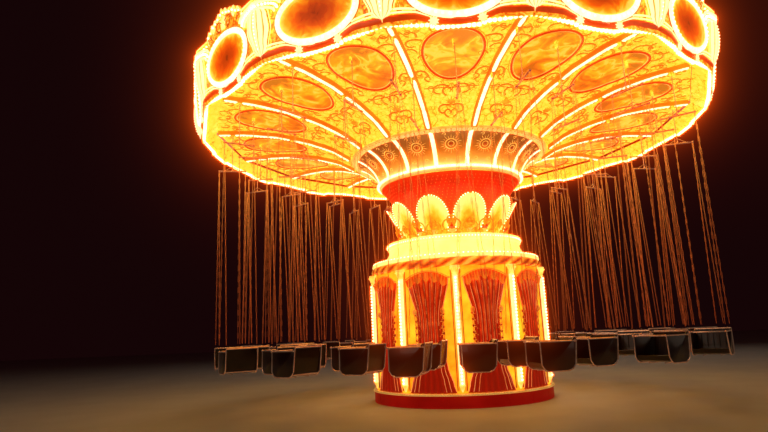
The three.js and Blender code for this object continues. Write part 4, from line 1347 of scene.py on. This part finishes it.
HOOD_LINES = ((0, 0.026), (0.110, 0.022))  # inset and width
hoods = joined([bar(hood_arc(side, inset), width, sides=5) for side in (-1, 1) for inset, width in HOOD_LINES])
fit("hood_arches", on_boards(hoods), ribbon_paint, "canopy", "cream_lit")
hood_lights = on_boards(lamps(BULB, hood_arc(-1, 0.055, 9) + hood_arc(1, 0.055, 9)))
add(hood_lights, on_corners(lamps(0.012, [
    (x, y, out + 0.002) for x, y, out in (shield_at(0, up) for up in even(0.14, 0.84, 11))
])))
fit("hood_bulbs", hood_lights, warm_bulb, "canopy", "cream_lit")

reach = board_half(CREST_FOOT) * 0.97 * (1 - 1 / CREST_BULBS)
crest_lights = lamps(0.021, [
    (x, between(CREST, abs(x)) - 0.055, BOARD_THICK + 0.020) for x in even(-reach, reach, CREST_BULBS)
])
fit("crest_bulbs", on_boards(crest_lights), warm_bulb, "canopy", "cream_lit")

# Roof
# The low roof is cut off in the photograph. It is finished as plain dark red sheets on sixteen
# rafters, with gilt rolls over the hips and standing seams between them.
ROOF_FOOT, ROOF_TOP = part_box("canopy_roof")[0].z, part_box("canopy_roof")[1].z
ROOF_RADIUS, CAP_RADIUS = 5.240, 0.420
EAVE_Z, CAP_Z = ROOF_FOOT + 0.080, ROOF_TOP - 0.060
ROOF_FALL = (CAP_Z - EAVE_Z) / (ROOF_RADIUS - CAP_RADIUS)

roof_paint = mottled("roof_red_sheet_paint", (0.52, 0.040, 0.020), (0.34, 0.022, 0.012), 0.8, 0.45, 0.05, coat=0.1)
repaint("canopy_roof", roof_paint)
rolls = bar([(ROOF_RADIUS - 0.01, 0, EAVE_Z), (CAP_RADIUS, 0, CAP_Z)], 0.032, sides=8)
add(rolls, ball(0.055, 2), at(ROOF_RADIUS - 0.01, 0, EAVE_Z))
fit("roof_rolls", by_rib(rolls), brass, "canopy", "finial_gold")

seams = bmesh.new()
for number in range(-3, 4):
    side = number / 4 * ROOF_RADIUS * sin(radians(SECTOR / 2))
    inner = max(abs(side) / SECTOR_SLOPE + 0.06, CAP_RADIUS * APOTHEM)
    outer = ROOF_RADIUS * APOTHEM - 0.02
    seam = [(r, side, CAP_Z - ROOF_FALL * (r / APOTHEM - CAP_RADIUS)) for r in (inner, outer)]
    add(seams, bar(seam, 0.012, sides=5))
fit("roof_seams", by_sector(seams), roof_paint, "canopy", "roof_red")

# Finial
# A hollow ball of spun sheet metal, gilded, stands on a stepped foot and ends in a slim point. It is
# bolted on the roof's cap.
FINIAL_FOOT, FINIAL_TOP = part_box("roof_finial")[0].z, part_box("roof_finial")[1].z
BALL_MIDDLE, BALL_RADIUS = FINIAL_FOOT + 0.330, 0.230
finial = raised(
    FINIAL_FOOT, (0, 0), (0.300, 0), (0.305, 0.020), (0.290, 0.045), (0.200, 0.060), (0.130, 0.085),
    (0.100, 0.110),
)
finial += arc(0, BALL_MIDDLE, BALL_RADIUS, BALL_RADIUS, -66, 74, 15)
finial += raised(BALL_MIDDLE + BALL_RADIUS, (0.070, 0.010), (0.085, 0.030), (0.050, 0.055), (0.030, 0.150))
fit("gilded_finial", turned([*finial, (0, FINIAL_TOP)], 48), brass, "canopy", "finial_gold", "roof_finial")

# Swings
# Forty-eight seats hang in three rings. Each has a steel hanger and spreader bar, four link chains,
# and a dark lacquered bucket with tall sides between bright tube loops, closed by an arm bar.
RINGS = (
    ("outer", 4.850, 0.0, 5.030), ("middle", 4.400, SECTOR / 2, 5.070), ("inner", 3.550, 0.0, 4.900),
)  # name, radius, turn and height of the spreader bar
PIVOT_DROP, EYE_RADIUS, CLAMP = 0.055, 0.021, 0.019
BEAM_DROP, BOARD_DROP = 0.080, 0.040  # from the boards down to a lug's root, under a beam and between
SPREADER_HALF, SPREAD = 0.300, 0.280  # ends and chain tops from the middle of the bar
CHAIN_APART = 0.011
ARM_Z, ARM_HALF, ARM_FRONT, ARM_REAR = 1.205, 0.267, -0.237, 0.250
SEAT_FOOT, SEAT_HALF, SEAT_FRONT, SEAT_REAR = 0.830, 0.278, -0.220, 0.220
BACK_TOP, RECLINE = 1.250, 0.060
SHELL_THICK, PAN_ROUND = 0.016, 0.080
LINK_PITCH, LINK_HALF, LINK_WIDTH, LINK_WIRE = 0.110, 0.05456, 0.0080, 0.0034
UPRIGHT = (0, 1, 0)


def link():
    """One long chain link of round wire, along Z."""
    corners = ((1, 1), (-1, 1), (-1, -1), (1, -1))
    return bar([(x * LINK_WIDTH, 0, z * LINK_HALF) for x, z in corners], LINK_WIRE, UPRIGHT, 3, closed=True)


def hung_chain(start, end):
    """Links from start to end, every other one turned across."""
    start, end = Vector(start), Vector(end)
    along = end - start
    count = round(along.length / LINK_PITCH)
    step = along.length / count
    pair = joined([link()], at(0, 0, step / 2))
    add(pair, link(), at(0, 0, step * 1.5) @ Matrix.Rotation(pi / 2, 4, "Z"))
    bm = bmesh.new()
    for i in range(count // 2):
        add(bm, pair.copy(), at(0, 0, 2 * i * step))
    pair.free()
    bm.transform(at(*start) @ along.to_track_quat("Z", "Y").to_matrix().to_4x4())
    return bm


def tube(path, width):
    """A bent steel tube; its corners are as given."""
    return bar(path, width, face=(0.13, 0.21, 0.97))


def seat_metal(pivot):
    """The arm bar all round, a tube loop down either side, the back rail and the clamps."""
    arm, foot, top = ARM_Z - pivot, SEAT_FOOT - pivot, BACK_TOP - pivot
    bend = ((0, ARM_REAR), (0, ARM_FRONT + 0.05), (0.012, ARM_FRONT + 0.015), (0.05, ARM_FRONT))
    half = [(x - ARM_HALF, y, arm) for x, y in bend]
    bm = tube(half + [(-x, y, z) for x, y, z in reversed(half)], 0.011)
    under = (
        (SEAT_FRONT - 0.006, PAN_ROUND), (SEAT_FRONT + 0.4 * PAN_ROUND, 0.020), (SEAT_FRONT + PAN_ROUND, -0.004),
        (SEAT_REAR - PAN_ROUND, -0.004), (SEAT_REAR - 0.3 * PAN_ROUND, 0.020), (SEAT_REAR + 0.018, PAN_ROUND),
        (SEAT_REAR + RECLINE - 0.004, BACK_TOP - SEAT_FOOT),
    )
    for side in (-1, 1):
        loop = [(side * (SEAT_HALF - 0.002), y, foot + z) for y, z in under]
        add(bm, tube([(side * ARM_HALF, ARM_FRONT + 0.010, arm), *loop], 0.009))
        add(bm, lamps(CLAMP, [(side * ARM_HALF, y, arm) for y in (ARM_FRONT, ARM_REAR)]))
    for y, z, width in ((RECLINE - 0.004, top, 0.012), (-0.2 * PAN_ROUND, foot + 0.030, 0.009)):
        add(bm, tube([(side * (SEAT_HALF - 0.004), SEAT_REAR + y, z) for side in (-1, 1)], width))
    for x in (-0.13, 0.13):
        add(bm, tube([(x, y, foot - 0.006) for y in (SEAT_REAR - PAN_ROUND, SEAT_FRONT + PAN_ROUND)], 0.008))
    return bm


def seat_shell(pivot):
    """The bucket: a pan turned up at both ends, the reclined back and two tall side panels."""
    foot, height = SEAT_FOOT - pivot, BACK_TOP - SEAT_FOOT
    run = (
        (SEAT_FRONT + 0.006, PAN_ROUND + 0.02), (SEAT_FRONT + 0.3 * PAN_ROUND, 0.4 * PAN_ROUND),
        (SEAT_FRONT + PAN_ROUND, 0.010), (SEAT_REAR - PAN_ROUND, 0.010),
        (SEAT_REAR - 0.4 * PAN_ROUND, 0.4 * PAN_ROUND), (SEAT_REAR - 0.006, PAN_ROUND + 0.02),
        (SEAT_REAR + RECLINE - 0.014, height - 0.008),
    )  # front edge, pan and back, each with its height over the foot
    bm = bmesh.new()
    half = SEAT_HALF - 0.006
    left, right = ([bm.verts.new((x, y, foot + z)) for y, z in run] for x in (-half, half))
    for i in range(len(run) - 1):
        bm.faces.new((left[i], left[i + 1], right[i + 1], right[i]))
    bmesh.ops.recalc_face_normals(bm, faces=bm.faces[:])
    bmesh.ops.solidify(bm, geom=bm.faces[:], thickness=SHELL_THICK)
    bmesh.ops.recalc_face_normals(bm, faces=bm.faces[:])
    side_top = ARM_Z - SEAT_FOOT - 0.010
    outline = (
        (SEAT_REAR - PAN_ROUND, 0.004), (SEAT_FRONT + PAN_ROUND, 0.004),
        (SEAT_FRONT + 0.3 * PAN_ROUND, 0.4 * PAN_ROUND), (SEAT_FRONT, PAN_ROUND), (SEAT_FRONT, side_top),
        (SEAT_REAR - 0.020, side_top), (SEAT_REAR + 0.024, height), (SEAT_REAR + RECLINE - 0.008, height),
        (SEAT_REAR + 0.010, PAN_ROUND), (SEAT_REAR - 0.3 * PAN_ROUND, 0.4 * PAN_ROUND),
    )
    for side in (-1, 1):
        panel = bmesh.new()
        face = panel.faces.new([panel.verts.new((0, y, foot + z)) for y, z in outline])
        grown = bmesh.ops.extrude_face_region(panel, geom=[face])["geom"]
        grown = [v for v in grown if isinstance(v, bmesh.types.BMVert)]
        bmesh.ops.translate(panel, verts=grown, vec=(SHELL_THICK, 0, 0))
        bmesh.ops.recalc_face_normals(panel, faces=panel.faces[:])
        soften(panel, 0.003)
        add(bm, panel, at(side * (SEAT_HALF - 0.012) - SHELL_THICK / 2, 0, 0))
    for x in (-0.18, -0.09, 0, 0.09, 0.18):
        rib = [
            (x, SEAT_REAR - 0.020 + (RECLINE - 0.014) * share, foot + 0.12 + share * (height - 0.15))
            for share in (0, 0.5, 1)
        ]
        add(bm, bar(rib, (0.008, 0.010, 0.008), UPRIGHT, 5, flat=0.6))
    return bm


def hanger(pivot, bar_z):
    """Eye, swivel, hanger rod, spreader bar with its end caps, and the chains' shackles."""
    bottom = bar_z - pivot
    eye = [(EYE_RADIUS * cos(tau * i / 10), 0, EYE_RADIUS * sin(tau * i / 10)) for i in range(10)]
    bm = bar(eye, 0.008, UPRIGHT, closed=True)
    for heights, widths in (
        ((-0.020, -0.050, -0.062, -0.085), (0.009, 0.010, 0.017, 0.010)),  # the swivel, slim beside the lug
        ((-0.07, bottom + 0.05), 0.009), ((bottom + 0.06, bottom + 0.03, bottom + 0.014), (0.012, 0.020, 0.026)),
    ):
        add(bm, bar([(0, 0, z) for z in heights], widths, UPRIGHT, 8))
    ends = (-SPREADER_HALF, 0.004 - SPREADER_HALF, SPREADER_HALF - 0.004, SPREADER_HALF)
    add(bm, bar([(x, 0, bottom) for x in ends], (0.012, 0.017, 0.017, 0.012), sides=8))
    for side in (-1, 1):
        add(bm, bar([(0, 0, bottom + 0.11), (side * 0.16, 0, bottom + 0.012)], 0.006, UPRIGHT))
        add(bm, bar([(side * x, 0, bottom) for x in (SPREAD - 0.014, SPREAD + 0.014)], 0.022, sides=10))
    return bm


def chains(pivot, bar_z):
    bm = bmesh.new()
    top, foot = bar_z - pivot - 0.016, ARM_Z - pivot + 0.006
    for side in (-1, 1):
        for apart, y in ((-CHAIN_APART, ARM_FRONT), (CHAIN_APART, ARM_REAR)):
            add(bm, hung_chain((side * SPREAD, apart, top), (side * ARM_HALF, y, foot)))
    return bm


seat_paint = mottled(
    "dark_seat_lacquer", (0.022, 0.004, 0.003), (0.008, 0.002, 0.002), 0.12, 0.34, 0.0, coat=0.2, grain_size=0.006,
)
bright_steel = mottled(
    "bright_steel_tube", (0.95, 0.56, 0.34), (0.70, 0.32, 0.16), 0.08, 0.22, 0.08, metallic=1.0, wear=0.1,
)
# The chains are painted brighter towards the top, near the canopy's bulbs, and darker low down: painted light and
# shade.
chain_steel, where = surface("chain_steel_lit_from_above", 0.34, metallic=0.6)
chain_lit_height = node(chain_steel, "SeparateXYZ", Vector=where).outputs["Z"]
coloured(
    chain_steel, spread(chain_steel, chain_lit_height, 0, 1, 1.2, 5.2), 0.34, (0.0, (0.34, 0.055, 0.012)),
    (0.5, (0.62, 0.14, 0.025)), (0.9, (1.0, 0.38, 0.07)),
)

for ring_name, radius, ring_turn, bar_z in RINGS:
    root = rib_z(radius) - BEAM_DROP if ring_turn == 0 else ceiling_z(radius) - BOARD_DROP
    pivot = root - PIVOT_DROP
    pattern = bmesh.new()
    parts = (seat_shell(pivot), seat_metal(pivot), hanger(pivot, bar_z), chains(pivot, bar_z))
    for paint_number, part in zip((0, 1, 1, 2), parts):
        for face in part.faces:
            face.material_index = paint_number
        add(pattern, part)
    for i in range(SECTORS):
        angle = radians(FIRST_RIB + ring_turn + i * SECTOR)
        swing = pattern.copy()
        swing.transform(at(radius * cos(angle), radius * sin(angle), pivot) @ Matrix.Rotation(angle, 4, "Z"))
        number, paints = f"{ring_name}_{i + 1:02d}", (seat_paint, bright_steel, chain_steel)
        fit("seat_" + number, swing, paints, "swing_" + number, "seat_dark", "swing_" + number, crease=50)
    pattern.free()

# Glow
# The bulbs bloom a little in the lens, as every lamp does in a night photograph. Three glares in the
# compositor, tinted deep orange, stand in for that.
GLOWS = (("BLOOM", 0.45, 0.5), ("FOG_GLOW", 0.40, 1.0), ("FOG_GLOW", 0.25, 0.8))  # kind, size and strength
GLOW_TINT = (1.0, 0.17, 0.02, 1)
scene = bpy.context.scene
scene.use_nodes = True
steps = scene.node_tree.nodes
steps.clear()
image = steps.new("CompositorNodeRLayers").outputs["Image"]
for kind, size, strength in GLOWS:
    bloom = steps.new("CompositorNodeGlare")
    bloom.glare_type = kind
    for name, value in (("Threshold", 0.8), ("Strength", strength), ("Size", size), ("Tint", GLOW_TINT)):
        bloom.inputs[name].default_value = value
    scene.node_tree.links.new(image, bloom.inputs["Image"])
    image = bloom.outputs["Image"]
scene.node_tree.links.new(image, steps.new("CompositorNodeComposite").inputs["Image"])
